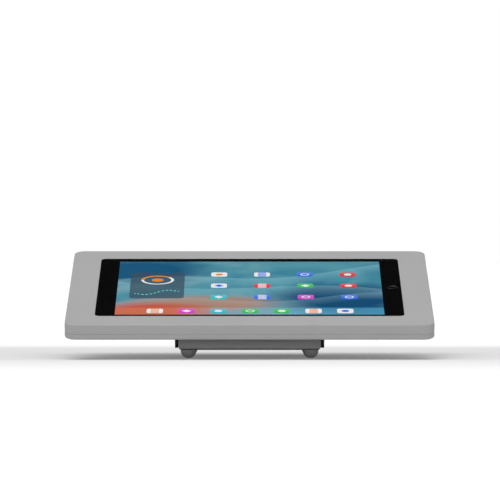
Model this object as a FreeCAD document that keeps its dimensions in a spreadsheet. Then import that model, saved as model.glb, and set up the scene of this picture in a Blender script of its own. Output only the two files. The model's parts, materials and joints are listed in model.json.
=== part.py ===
"""Desk mount with a lockable tilt that carries a screwed two-part enclosure with a tablet inside it.

Millimetres. The part stands on z = 0 with X to the right, Y away from the viewer and Z up. The pieces of
the tilting head are drawn in the head's own frame, whose z = 0 is the face of the enclosure, and are then
tilted together about the pivot.
"""

import FreeCAD
import Part

import math
import os
from types import SimpleNamespace

import Sketcher
from FreeCAD import Placement, Rotation, Vector

# Driving dimensions, in millimetres and degrees. Each one is set once, here.
SIZES = {
    # enclosure
    "tilt": 15,
    "frame_side": 26.1,
    "frame_end": 26.9,
    "enclosure_corner": 11,
    "cover_side": 10,
    "shell_side": 5.7,
    "face_plate": 1,
    "window_rim": 0.5,
    "rebate_clearance": 0.8,
    "side_wall": 3,
    "shell_floor": 2.5,
    "window_cover_side": 2.15,
    "window_cover_end": 3.6,
    "window_corner": 5.5,
    "window_bevel": 0.15,
    "face_edge_round": 1.2,
    "shell_edge_round": 2,
    "seam_bevel": 0.35,
    "lip_wall": 1.5,
    "lip_rise": 1.6,
    "lip_clearance": 0.2,
    # cover screws and the bosses that take them
    "boss_radius": 4,
    "boss_inset_x": 10.5,
    "boss_inset_y": 10.5,
    "boss_middle_x": 75,
    "cover_screw_radius": 1.45,
    "cover_screw_head": 2.8,
    "cover_screw_head_rise": 1.3,
    "cover_screw_reach": 5,
    "cover_insert_radius": 2.3,
    "cover_insert_length": 6,
    "counterbore_depth": 1.5,
    "key_radius": 1.2,
    "key_depth": 0.8,
    "screw_edge": 0.4,
    "fit": 0.05,
    "screw_clearance": 0.25,
    # plate screws between the tilt bracket and the rear shell
    "plate_pitch": 100,
    "plate_screw_radius": 1.95,
    "plate_screw_head": 4,
    "plate_screw_head_rise": 2.6,
    "plate_key_radius": 1.7,
    "plate_key_depth": 1.4,
    "plate_screw_edge": 0.9,
    "plate_insert_radius": 3.5,
    "plate_insert_rise": 3,
    # cable exit and vents of the rear shell
    "exit_radius": 11,
    "exit_bore": 6,
    "grommet_lip": 1.5,
    "grommet_lip_rise": 1.2,
    "vent_length": 40,
    "vent_width": 4,
    "vent_pitch": 12,
    "vent_middle_x": 110,
    # tablet
    "bezel_side": 21.4,
    "bezel_end": 11.8,
    "tablet_thickness": 6.9,
    "tablet_corner": 10,
    "tablet_edge_round": 2.5,
    "housing_rim": 1.5,
    "housing_wall": 3,
    "housing_floor": 0.9,
    "glass_thickness": 0.9,
    "glass_clearance": 0.05,
    "mask_thickness": 0.1,
    "screen_width": 262.9,
    "screen_depth": 197,
    "panel_border": 2.5,
    "panel_thickness": 1.6,
    "gasket_thickness": 0.2,
    "gasket_lip": 0.3,
    "gasket_flange": 1.9,
    "home_radius": 5.35,
    "home_body": 0.8,
    "home_sink": 0.15,
    "home_edge": 0.1,
    "home_dish": 0.2,
    "home_travel": 0.25,
    "home_play": 0.15,
    "home_flange": 0.55,
    "home_ring_gap": 0.1,
    "home_ring_wall": 0.3,
    "home_switch_side": 8,
    "side_button_radius": 0.9,
    "side_button_run": 4.1,
    "side_button_proud": 0.6,
    "side_button_travel": 0.3,
    "side_button_flange": 0.5,
    "side_button_lip": 0.4,
    "side_button_gap": 0.1,
    "side_button_drop": 3,
    "power_button_inset": 29.3,
    "volume_up_inset": 29.85,
    "volume_pitch": 16,
    "switch_side": 2.3,
    "switch_above": 1,
    "cell_end_gap": 14.8,
    "cell_gap": 2,
    "cell_board_gap": 4,
    "cell_thickness": 3.1,
    "board_thickness": 0.8,
    "board_camera_gap": 2.15,
    "logic_board_width": 37,
    "port_board_width": 27,
    "port_board_shorter": 4,
    "shield_rise": 1.8,
    "shield_margin": 3,
    "speaker_width": 40,
    "speaker_depth": 24,
    "speaker_rise": 3,
    "speaker_inset_x": 25.85,
    "speaker_inset_y": 27.3,
    "speaker_board_gap": 6,
    "camera_radius": 3,
    "camera_length": 4,
    "camera_pupil": 1.4,
    "rear_camera_rise": 3,
    "rear_camera_sink": 0.1,
    "rear_camera_shoulder": 1,
    "rear_camera_radius": 3.5,
    "rear_camera_inset_x": 11.85,
    "rear_camera_inset_y": 9.3,
    "port_width": 9,
    "port_rise": 2.6,
    "port_length": 13,
    "port_setback": 1.8,
    "port_wall": 1,
    "port_depth": 8,
    "jack_radius": 1.75,
    "jack_body": 6.5,
    "jack_length": 13,
    "jack_depth": 11,
    "jack_rise": 4.2,
    "jack_inset": 11.3,
    # soft pieces that hold the tablet
    "cradle_boss_gap": 0.85,
    "cradle_leg": 22,
    "cradle_clearance": 0.3,
    "cradle_top_gap": 1,
    "cradle_round": 2,
    "cushion_width": 50,
    "cushion_depth": 24,
    "cushion_inset_x": 47.85,
    "cushion_inset_y": 35.3,
    # tilt bracket
    "bracket_sheet": 3,
    "bracket_front": 12.5,
    "bracket_rear": 62,
    "cheek_gap": 0.5,
    "pivot_from_centre": 59.3,
    "pivot_under_shell": 12.6,
    "pivot_height": 26.85,
    "cheek_drop": 17.0,
    "cheek_reach": 26,
    "cheek_end": 40,
    "cheek_front_round": 8,
    "cheek_rear_round": 7,
    "bracket_bend": 2.5,
    "bracket_hole": 30,
    "bracket_corner": 8,
    # base
    "base_width": 139.6,
    "base_depth": 130,
    "base_sheet": 3,
    "base_bend": 3,
    "front_wall_rise": 19.6,
    "side_wall_rise": 26.1,
    "rear_wall_rise": 11.6,
    "pivot_inset": 13,
    "shoulder_inset": 10,
    "shoulder_run": 44,
    "shoulder_slope": 20,
    "wall_corner": 4,
    "base_slot_run": 20,
    "base_slot_radius": 8,
    "base_slot_from_rear": 43,
    "desk_pitch_x": 90,
    "desk_pitch_y": 80,
    "desk_hole": 2.75,
    # pivot and clamp
    "pivot_radius": 4,
    "pivot_head": 7,
    "pivot_head_rise": 4,
    "pivot_nut_side": 6.5,
    "pivot_nut_rise": 6.5,
    "washer_thickness": 1.2,
    "pivot_washer_radius": 7.5,
    "spring_washer_radius": 6.5,
    "bolt_tip": 1.5,
    "bolt_edge": 0.5,
    "running_gap": 0.05,
    "running_fit": 0.08,
    "clamp_ahead": 24,
    "clamp_drop": 3,
    "clamp_radius": 3,
    "clamp_head": 5.25,
    "clamp_head_rise": 3.3,
    "clamp_washer_radius": 6,
    "clamp_nut_side": 5,
    "clamp_nut_rise": 5,
    "clamp_slot_fit": 0.2,
    "tilt_up": 12,
    "tilt_down": 15,
    # feet
    "foot_radius": 7.8,
    "foot_height": 7.9,
    "foot_flat": 1.8,
    "foot_inset_x": 9.8,
    "foot_inset_y": 9,
    "stud_radius": 2,
    "stud_depth": 5.8,
    "stud_nut_side": 3.5,
    "stud_nut_rise": 3.2,
    "stud_tip": 1.2,
}

doc = FreeCAD.newDocument("tablet_enclosure_mount")
sheet = doc.addObject("Spreadsheet::Sheet", "sizes")


class Size:
    """A dimension: its number, and the formula in sheet cells that the document keeps for it."""

    def __init__(self, number, formula):
        self.number = number
        self.formula = formula

    def __add__(self, other):
        other = as_size(other)
        return Size(self.number + other.number, f"({self.formula} + {other.formula})")

    def __sub__(self, other):
        other = as_size(other)
        return Size(self.number - other.number, f"({self.formula} - {other.formula})")

    def __rsub__(self, other):
        return as_size(other) - self

    def __mul__(self, other):
        other = as_size(other)
        return Size(self.number * other.number, f"({self.formula} * {other.formula})")

    def __truediv__(self, other):
        other = as_size(other)
        return Size(self.number / other.number, f"({self.formula} / {other.formula})")

    def __neg__(self):
        return Size(-self.number, f"(0 - {self.formula})")

    __radd__ = __add__
    __rmul__ = __mul__


def as_size(value):
    """Makes a plain number a Size too."""
    return value if isinstance(value, Size) else Size(float(value), repr(float(value)))


def sine(angle):
    return Size(math.sin(math.radians(angle.number)), f"sin({angle.formula} * 1deg)")


def cosine(angle):
    return Size(math.cos(math.radians(angle.number)), f"cos({angle.formula} * 1deg)")


def root(value):
    return Size(math.sqrt(value.number), f"sqrt({value.formula})")


def fill_sheet():
    """Writes each driving dimension to its own cell, and names the cell."""
    for row, (name, number) in enumerate(SIZES.items(), start=1):
        sheet.set(f"A{row}", str(number))
        sheet.setAlias(f"A{row}", name)
    doc.recompute()
    return SimpleNamespace(**{name: Size(float(number), f"sizes.{name}") for name, number in SIZES.items()})


size = fill_sheet()

# Heights in the head's frame, below the face of the enclosure
COVER_BOTTOM = -size.cover_side
SHELL_BOTTOM = COVER_BOTTOM - size.shell_side
FLOOR_TOP = SHELL_BOTTOM + size.shell_floor
PLATE_UNDER = -size.face_plate
RIM_UNDER = -size.window_rim
GLASS_TOP = RIM_UNDER - size.gasket_thickness
GLASS_UNDER = GLASS_TOP - size.glass_thickness
MASK_UNDER = GLASS_UNDER - size.mask_thickness
PANEL_UNDER = MASK_UNDER - size.panel_thickness
TABLET_UNDER = GLASS_TOP - size.tablet_thickness
CAVITY_FLOOR = TABLET_UNDER + size.housing_floor
PORT_TOP = CAVITY_FLOOR + size.port_rise
HOME_UNDER = MASK_UNDER - size.home_body
HOME_SWITCH_TOP = HOME_UNDER - size.home_travel - size.fit
BUTTON_HEIGHT = GLASS_TOP - size.side_button_drop
BRACKET_UNDER = SHELL_BOTTOM - size.bracket_sheet

# The tablet grows from its screen, and the window and the enclosure grow from the tablet
TABLET_WIDTH = size.screen_width + size.bezel_side * 2
TABLET_DEPTH = size.screen_depth + size.bezel_end * 2
WINDOW_WIDTH = TABLET_WIDTH - size.window_cover_side * 2
WINDOW_DEPTH = TABLET_DEPTH - size.window_cover_end * 2
ENCLOSURE_WIDTH = TABLET_WIDTH + size.frame_side * 2
ENCLOSURE_DEPTH = TABLET_DEPTH + size.frame_end * 2

# Places in the head's frame
CAVITY_X = TABLET_WIDTH / 2 - size.housing_wall
CAVITY_Y = TABLET_DEPTH / 2 - size.housing_wall
HOME_X = (size.screen_width + size.bezel_side) / 2
BOARD_INNER = HOME_X - size.board_camera_gap - size.logic_board_width
SPEAKER_X = CAVITY_X - size.speaker_inset_x
SPEAKER_Y = CAVITY_Y - size.speaker_inset_y
POWER_Y = CAVITY_Y - size.power_button_inset
VOLUME_UP_X = CAVITY_X - size.volume_up_inset
VOLUME_DOWN_X = VOLUME_UP_X - size.volume_pitch
JACK_Y = -(CAVITY_Y - size.jack_inset)
REAR_CAMERA_X = -(CAVITY_X - size.rear_camera_inset_x)
REAR_CAMERA_Y = CAVITY_Y - size.rear_camera_inset_y
BOSS_X = ENCLOSURE_WIDTH / 2 - size.boss_inset_x
BOSS_Y = ENCLOSURE_DEPTH / 2 - size.boss_inset_y
CRADLE_WALL = (
    size.frame_side
    - size.boss_inset_x
    - size.boss_radius
    - size.cradle_boss_gap
    - size.cradle_clearance
)
PIVOT_HEAD_Y = -size.pivot_from_centre
PIVOT_HEAD_Z = SHELL_BOTTOM - size.pivot_under_shell

# The pivot and the head's origin in the part's frame: the head is centred over y = 0
HEAD_Y = (SHELL_BOTTOM * sine(size.tilt)) / 2
PIVOT_Y = HEAD_Y + PIVOT_HEAD_Y * cosine(size.tilt) - PIVOT_HEAD_Z * sine(size.tilt)
HEAD_Z = size.pivot_height - PIVOT_HEAD_Y * sine(size.tilt) - PIVOT_HEAD_Z * cosine(size.tilt)

# Places of the base, in the part's frame
BASE_FRONT = PIVOT_Y - size.pivot_inset
BASE_REAR = BASE_FRONT + size.base_depth
BASE_MIDDLE = (BASE_FRONT + BASE_REAR) / 2
BASE_TOP = size.foot_height + size.base_sheet
BASE_HALF = size.base_width / 2
CHEEK_INSIDE = BASE_HALF + size.cheek_gap
CHEEK_OUTSIDE = CHEEK_INSIDE + size.bracket_sheet
CLAMP_Y = PIVOT_Y + size.clamp_ahead
CLAMP_Z = size.pivot_height - size.clamp_drop

SIGNS = (-1, 1)
VENT_ROWS = 7
OVERCUT = 1
parts = {}


def bind(thing, place, value):
    thing.setExpression(place, as_size(value).formula)


def new_part(name, in_head=True):
    """Starts a sub-part. Those of the head get the head's tilt and place."""
    body = doc.addObject("PartDesign::Body", name)
    body.Label = name
    body.AllowCompound = True
    if in_head:
        base = Vector(0, HEAD_Y.number, HEAD_Z.number)
        body.Placement = Placement(base, Rotation(Vector(1, 0, 0), size.tilt.number))
        bind(body, "Placement.Base.y", HEAD_Y)
        bind(body, "Placement.Base.z", HEAD_Z)
        bind(body, "Placement.Rotation.Angle", size.tilt)
    parts[name] = body
    return body


def origin_feature(body, role):
    return next(feature for feature in body.Origin.OriginFeatures if feature.Role == role)


def new_sketch(body, plane, height=0, x=0, y=0):
    """An empty sketch on one of the body's origin planes, moved along the plane's normal by height."""
    sketch = body.newObject("Sketcher::SketchObject", f"{body.Name}_sketch")
    sketch.AttachmentSupport = (origin_feature(body, plane), [""])
    sketch.MapMode = "FlatFace"
    bind(sketch, "AttachmentOffset.Base.x", x)
    bind(sketch, "AttachmentOffset.Base.y", y)
    bind(sketch, "AttachmentOffset.Base.z", height)
    return sketch


def pin(sketch, index, vertex, x, y):
    """Ties one point of the sketch to its two coordinates."""
    for kind, coordinate in (("DistanceX", x), ("DistanceY", y)):
        constraint = Sketcher.Constraint(kind, -1, 1, index, vertex, coordinate.number)
        bind(sketch, f"Constraints[{sketch.addConstraint(constraint)}]", coordinate)


def set_radius(sketch, index, radius):
    constraint = Sketcher.Constraint("Radius", index, radius.number)
    bind(sketch, f"Constraints[{sketch.addConstraint(constraint)}]", radius)


def arc_between(start, end, radius, hollow):
    """The short arc of a radius from start to end, with its centre to the left, or to the right if hollow."""
    chord = end - start
    height = math.sqrt(max(radius**2 - (chord.Length / 2) ** 2, 0))
    side = Vector(-chord.y, chord.x, 0).normalize() * (-height if hollow else height)
    centre = (start + end) * 0.5 + side
    first, last = (end, start) if hollow else (start, end)
    angles = [math.atan2(point.y - centre.y, point.x - centre.x) for point in (first, last)]
    if angles[1] < angles[0]:
        angles[1] += 2 * math.pi
    return Part.ArcOfCircle(Part.Circle(centre, Vector(0, 0, 1), radius), *angles)


def outline(sketch, points, arcs=None):
    """A closed outline through points. arcs gives the radius of the side after a point, below 0 if hollow."""
    arcs = {index: as_size(radius) for index, radius in (arcs or {}).items()}
    points = [(as_size(x), as_size(y)) for x, y in points]
    corners = [Vector(x.number, y.number, 0) for x, y in points]
    first = sketch.GeometryCount
    starts = []
    for index, corner in enumerate(corners):
        end = corners[(index + 1) % len(corners)]
        radius = arcs.get(index)
        hollow = radius is not None and radius.number < 0
        if radius is None:
            sketch.addGeometry(Part.LineSegment(corner, end), False)
        else:
            sketch.addGeometry(arc_between(corner, end, abs(radius.number), hollow), False)
        starts.append(2 if hollow else 1)
    for index, (x, y) in enumerate(points):
        after = (index + 1) % len(points)
        joint = Sketcher.Constraint(
            "Coincident", first + index, 3 - starts[index], first + after, starts[after]
        )
        sketch.addConstraint(joint)
        pin(sketch, first + index, starts[index], x, y)
    for index, radius in arcs.items():
        set_radius(sketch, first + index, -radius if radius.number < 0 else radius)


def rectangle(sketch, width, depth, x=0, y=0, corner=None):
    """A rectangle about a centre, with rounded corners if corner is given."""
    x, y = as_size(x), as_size(y)
    half_x, half_y = as_size(width) / 2, as_size(depth) / 2
    turns = ((-1, -1), (1, -1), (1, 1), (-1, 1))
    if corner is None:
        outline(sketch, [(x + half_x * i, y + half_y * j) for i, j in turns])
        return
    points = []
    for i, j in turns:
        ends = [
            (x + half_x * i, y + (half_y - corner) * j),
            (x + (half_x - corner) * i, y + half_y * j),
        ]
        points += ends if i * j > 0 else ends[::-1]
    outline(sketch, points, {index: corner for index in (0, 2, 4, 6)})


def circle(sketch, x, y, radius):
    x, y, radius = as_size(x), as_size(y), as_size(radius)
    shape = Part.Circle(Vector(x.number, y.number, 0), Vector(0, 0, 1), radius.number)
    index = sketch.addGeometry(shape, False)
    set_radius(sketch, index, radius)
    pin(sketch, index, 3, x, y)


def hexagon(sketch, x, y, side_distance):
    """A hexagon with two flats level, given half the distance between its flats."""
    corner = side_distance / math.cos(math.pi / 6)
    turns = [(math.cos(math.pi / 3 * step), math.sin(math.pi / 3 * step)) for step in range(6)]
    outline(sketch, [(as_size(x) + corner * i, as_size(y) + corner * j) for i, j in turns])


def pad(sketch, length, reverse=False):
    body = sketch.getParentGeoFeatureGroup()
    feature = body.newObject("PartDesign::Pad", f"{body.Name}_pad")
    feature.Profile = sketch
    bind(feature, "Length", length)
    feature.Reversed = reverse
    doc.recompute()
    return feature


def pocket(sketch, depth):
    """Cuts against the sketch's normal, and makes sure that something was cut."""
    body = sketch.getParentGeoFeatureGroup()
    before = body.Shape.Volume
    feature = body.newObject("PartDesign::Pocket", f"{body.Name}_pocket")
    feature.Profile = sketch
    bind(feature, "Length", depth)
    doc.recompute()
    if body.Shape.Volume > before - 1e-6:
        raise RuntimeError(f"a pocket in {body.Name} cuts nothing")
    return feature


def turn(sketch, axis):
    """Turns the sketch's outline once round one of its own axes."""
    body = sketch.getParentGeoFeatureGroup()
    feature = body.newObject("PartDesign::Revolution", f"{body.Name}_turned")
    feature.Profile = sketch
    feature.ReferenceAxis = (sketch, [axis])
    feature.Angle = 360
    doc.recompute()
    return feature


def dress(kind, base, radius, wanted):
    """Rounds or bevels the edges of base that wanted picks."""
    body = base.getParentGeoFeatureGroup()
    edges = [f"Edge{index}" for index, edge in enumerate(base.Shape.Edges, start=1) if wanted(edge)]
    if not edges:
        raise RuntimeError(f"{body.Name} has no edge to dress")
    feature = body.newObject(f"PartDesign::{kind}", f"{body.Name}_{kind.lower()}")
    feature.Base = (base, edges)
    bind(feature, "Radius" if kind == "Fillet" else "Size", radius)
    doc.recompute()
    return feature


def mirror(body, originals, *planes):
    """Repeats features across one or two of the body's origin planes."""
    pattern = body.newObject("PartDesign::MultiTransform", f"{body.Name}_repeated")
    pattern.Originals = originals
    steps = []
    for plane in planes:
        step = body.newObject("PartDesign::Mirrored", f"{body.Name}_mirrored")
        step.MirrorPlane = (origin_feature(body, plane), [""])
        steps.append(step)
    pattern.Transformations = steps
    body.Tip = pattern
    doc.recompute()
    return pattern


def near(value, wanted, within=1e-4):
    return abs(value - as_size(wanted).number) < within


def lies_at(edge, axis, value):
    """True where the whole edge lies at one value of x, y or z."""
    box = edge.BoundBox
    low, high = {"x": (box.XMin, box.XMax), "y": (box.YMin, box.YMax), "z": (box.ZMin, box.ZMax)}[axis]
    return near(low, value, 1e-3) and near(high, value, 1e-3)


def runs_along(edge, axis):
    """True for a straight edge along x, y or z."""
    if not isinstance(edge.Curve, Part.Line):
        return False
    direction = edge.Curve.Direction
    return abs(getattr(direction, axis)) > 0.9999


def slab(name, width, depth, bottom, top, corner=None, in_head=True):
    """A sub-part that starts as one plate between two heights."""
    body = new_part(name, in_head)
    sketch = new_sketch(body, "XY_Plane", bottom)
    rectangle(sketch, width, depth, corner=corner)
    return body, pad(sketch, top - bottom)


def boxes(name, boxes_wanted, in_head=True):
    """A sub-part of one or more blocks: each is its width, depth, centre x, centre y, bottom and top."""
    body = new_part(name, in_head)
    for width, depth, x, y, bottom, top in boxes_wanted:
        sketch = new_sketch(body, "XY_Plane", bottom)
        rectangle(sketch, width, depth, x, y)
        pad(sketch, top - bottom)
    return body


def cut_plan(body, bottom, top, draw):
    """Cuts a plan outline out of a body between two heights."""
    sketch = new_sketch(body, "XY_Plane", top)
    draw(sketch)
    return pocket(sketch, top - bottom)


def turned_upright(name, profile, x, y, arcs=None, in_head=True):
    """A sub-part turned round an upright axis at x and y. The profile is radius and height."""
    body = new_part(name, in_head)
    sketch = new_sketch(body, "XZ_Plane", -as_size(y), x=x)
    outline(sketch, profile, arcs)
    return body, turn(sketch, "V_Axis")


def turned_sideways(name, profile, y, z):
    """A sub-part of the base turned round an axis along X. The profile is distance along X and radius."""
    body = new_part(name, in_head=False)
    sketch = new_sketch(body, "XY_Plane", z, y=y)
    outline(sketch, profile)
    return body, turn(sketch, "H_Axis")


def corner_points(x, y):
    return [(as_size(x) * i, as_size(y) * j) for i in SIGNS for j in SIGNS]


def boss_places():
    return corner_points(BOSS_X, BOSS_Y) + corner_points(size.boss_middle_x, BOSS_Y)


def front_cover():
    """The painted cover: face plate with its window, side walls and the bosses for the cover screws."""
    body, block = slab(
        "front_cover",
        ENCLOSURE_WIDTH,
        ENCLOSURE_DEPTH,
        COVER_BOTTOM,
        0,
        size.enclosure_corner,
    )
    dress("Fillet", block, size.face_edge_round, lambda edge: lies_at(edge, "z", 0))
    cut_plan(
        body,
        COVER_BOTTOM,
        PLATE_UNDER,
        lambda sketch: rectangle(
            sketch,
            ENCLOSURE_WIDTH - size.side_wall * 2,
            ENCLOSURE_DEPTH - size.side_wall * 2,
            corner=size.enclosure_corner - size.side_wall,
        ),
    )
    # The plate is thinner round the window, over the tablet's edge, so that the glass lies close under it
    cut_plan(
        body,
        PLATE_UNDER - OVERCUT,
        RIM_UNDER,
        lambda sketch: rectangle(
            sketch,
            TABLET_WIDTH + size.rebate_clearance * 2,
            TABLET_DEPTH + size.rebate_clearance * 2,
            corner=size.tablet_corner + size.rebate_clearance,
        ),
    )
    window = cut_plan(
        body,
        PLATE_UNDER - OVERCUT,
        0,
        lambda sketch: rectangle(
            sketch, WINDOW_WIDTH, WINDOW_DEPTH, corner=size.window_corner
        ),
    )
    inside = WINDOW_WIDTH / 2 + 1
    bevel = dress(
        "Chamfer",
        window,
        size.window_bevel,
        lambda edge: lies_at(edge, "z", 0) and abs(edge.CenterOfMass.x) < inside.number,
    )
    dress(
        "Chamfer",
        bevel,
        size.seam_bevel,
        lambda edge: lies_at(edge, "z", COVER_BOTTOM) and is_outer(edge),
    )
    bosses = new_sketch(body, "XY_Plane", FLOOR_TOP)
    for x, y in boss_places():
        circle(bosses, x, y, size.boss_radius)
    pad(bosses, PLATE_UNDER - FLOOR_TOP)
    cut_plan(
        body,
        FLOOR_TOP - OVERCUT,
        FLOOR_TOP + size.cover_insert_length,
        lambda sketch: [
            circle(sketch, x, y, size.cover_insert_radius + size.fit) for x, y in boss_places()
        ],
    )


def is_outer(edge):
    """True for an edge of the enclosure's outer wall."""
    inner_x = (ENCLOSURE_WIDTH / 2 - size.side_wall).number + 0.5
    inner_y = (ENCLOSURE_DEPTH / 2 - size.side_wall).number + 0.5
    box = edge.BoundBox
    return max(abs(box.XMin), abs(box.XMax)) > inner_x or max(abs(box.YMin), abs(box.YMax)) > inner_y


def rear_shell():
    """The painted tray behind the tablet: floor, low side walls and the lip that centres the cover."""
    body, block = slab(
        "rear_shell",
        ENCLOSURE_WIDTH,
        ENCLOSURE_DEPTH,
        SHELL_BOTTOM,
        COVER_BOTTOM,
        size.enclosure_corner,
    )
    rounded = dress(
        "Fillet", block, size.shell_edge_round, lambda edge: lies_at(edge, "z", SHELL_BOTTOM)
    )
    dress("Chamfer", rounded, size.seam_bevel, lambda edge: lies_at(edge, "z", COVER_BOTTOM))
    inset = size.side_wall + size.lip_clearance
    lip = new_sketch(body, "XY_Plane", COVER_BOTTOM)
    rectangle(
        lip,
        ENCLOSURE_WIDTH - inset * 2,
        ENCLOSURE_DEPTH - inset * 2,
        corner=size.enclosure_corner - inset,
    )
    pad(lip, size.lip_rise)
    inset = inset + size.lip_wall
    cut_plan(
        body,
        FLOOR_TOP,
        COVER_BOTTOM + size.lip_rise,
        lambda sketch: rectangle(
            sketch,
            ENCLOSURE_WIDTH - inset * 2,
            ENCLOSURE_DEPTH - inset * 2,
            corner=size.enclosure_corner - inset,
        ),
    )
    cut_plan(body, SHELL_BOTTOM - OVERCUT, FLOOR_TOP, draw_floor_holes)
    cut_plan(
        body,
        SHELL_BOTTOM - OVERCUT,
        SHELL_BOTTOM + size.counterbore_depth,
        lambda sketch: [
            circle(sketch, x, y, size.cover_screw_head + size.screw_clearance)
            for x, y in boss_places()
        ],
    )
    cut_vents(body)


def cut_vents(body):
    """A row of slots through the shell floor on each side of the bracket."""
    first = new_sketch(body, "XY_Plane", FLOOR_TOP)
    radius = size.vent_width / 2
    rows_before = (VENT_ROWS - 1) / 2
    stadium(
        first,
        size.vent_middle_x,
        -size.vent_pitch * rows_before,
        size.vent_length / 2 - radius,
        radius,
    )
    slot = pocket(first, size.shell_floor + OVERCUT)
    pattern = body.newObject("PartDesign::MultiTransform", f"{body.Name}_vents")
    pattern.Originals = [slot]
    row = body.newObject("PartDesign::LinearPattern", f"{body.Name}_vent_row")
    row.Direction = (origin_feature(body, "Y_Axis"), [""])
    bind(row, "Length", size.vent_pitch * (VENT_ROWS - 1))
    row.Occurrences = VENT_ROWS
    across = body.newObject("PartDesign::Mirrored", f"{body.Name}_vent_side")
    across.MirrorPlane = (origin_feature(body, "YZ_Plane"), [""])
    pattern.Transformations = [row, across]
    body.Tip = pattern
    doc.recompute()


def draw_floor_holes(sketch):
    """The cable exit and the holes for the plate inserts and the cover screws."""
    circle(sketch, 0, 0, size.exit_radius + size.fit)
    for x, y in corner_points(size.plate_pitch / 2, size.plate_pitch / 2):
        circle(sketch, x, y, size.plate_insert_radius + size.fit)
    for x, y in boss_places():
        circle(sketch, x, y, size.cover_screw_radius + size.screw_clearance)


def cover_fasteners():
    """Eight low-head screws with a round key recess, and the threaded inserts that they turn into."""
    head_top = SHELL_BOTTOM + size.counterbore_depth
    head_bottom = head_top - size.cover_screw_head_rise
    tip = FLOOR_TOP + size.cover_screw_reach
    recess = size.key_depth
    edge = size.screw_edge
    profile = [
        (0, head_bottom + recess),
        (size.key_radius, head_bottom + recess),
        (size.key_radius, head_bottom),
        (size.cover_screw_head - edge, head_bottom),
        (size.cover_screw_head, head_bottom + edge),
        (size.cover_screw_head, head_top),
        (size.cover_screw_radius, head_top),
        (size.cover_screw_radius, tip - edge),
        (size.cover_screw_radius - edge, tip),
        (0, tip),
    ]
    body, corner = turned_upright("cover_screws", profile, BOSS_X, BOSS_Y)
    middle_sketch = new_sketch(body, "XZ_Plane", -BOSS_Y, x=size.boss_middle_x)
    outline(middle_sketch, profile)
    mirror(body, [corner, turn(middle_sketch, "V_Axis")], "YZ_Plane", "XZ_Plane")

    body = new_part("cover_inserts")
    sketch = new_sketch(body, "XY_Plane", FLOOR_TOP)
    for x, y in boss_places():
        circle(sketch, x, y, size.cover_insert_radius)
        circle(sketch, x, y, size.cover_screw_radius + size.fit)
    pad(sketch, size.cover_insert_length)


def plate_fasteners():
    """Four pan-head screws through the bracket plate, and the clinched inserts in the shell floor."""
    head_bottom = BRACKET_UNDER - size.plate_screw_head_rise
    insert_top = FLOOR_TOP + size.plate_insert_rise
    profile = [
        (0, head_bottom + size.plate_key_depth),
        (size.plate_key_radius, head_bottom + size.plate_key_depth),
        (size.plate_key_radius, head_bottom),
        (size.plate_screw_head - size.plate_screw_edge, head_bottom),
        (size.plate_screw_head, head_bottom + size.plate_screw_edge),
        (size.plate_screw_head, BRACKET_UNDER),
        (size.plate_screw_radius, BRACKET_UNDER),
        (size.plate_screw_radius, insert_top - size.screw_edge),
        (0, insert_top - size.screw_edge),
    ]
    place = size.plate_pitch / 2
    body, screw = turned_upright("plate_screws", profile, place, place)
    mirror(body, [screw], "YZ_Plane", "XZ_Plane")

    body = new_part("plate_inserts")
    sketch = new_sketch(body, "XY_Plane", SHELL_BOTTOM)
    for x, y in corner_points(place, place):
        circle(sketch, x, y, size.plate_insert_radius)
        circle(sketch, x, y, size.plate_screw_radius + size.fit)
    pad(sketch, insert_top - SHELL_BOTTOM)


def cable_grommet():
    """The rubber ring of the cable exit, with a lip on each side of the shell floor."""
    lip = size.exit_radius + size.grommet_lip
    profile = [
        (size.exit_bore, SHELL_BOTTOM - size.grommet_lip_rise),
        (lip, SHELL_BOTTOM - size.grommet_lip_rise),
        (lip, SHELL_BOTTOM),
        (size.exit_radius, SHELL_BOTTOM),
        (size.exit_radius, FLOOR_TOP),
        (lip, FLOOR_TOP),
        (lip, FLOOR_TOP + size.grommet_lip_rise),
        (size.exit_bore, FLOOR_TOP + size.grommet_lip_rise),
    ]
    turned_upright("cable_grommet", profile, 0, 0)


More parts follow.
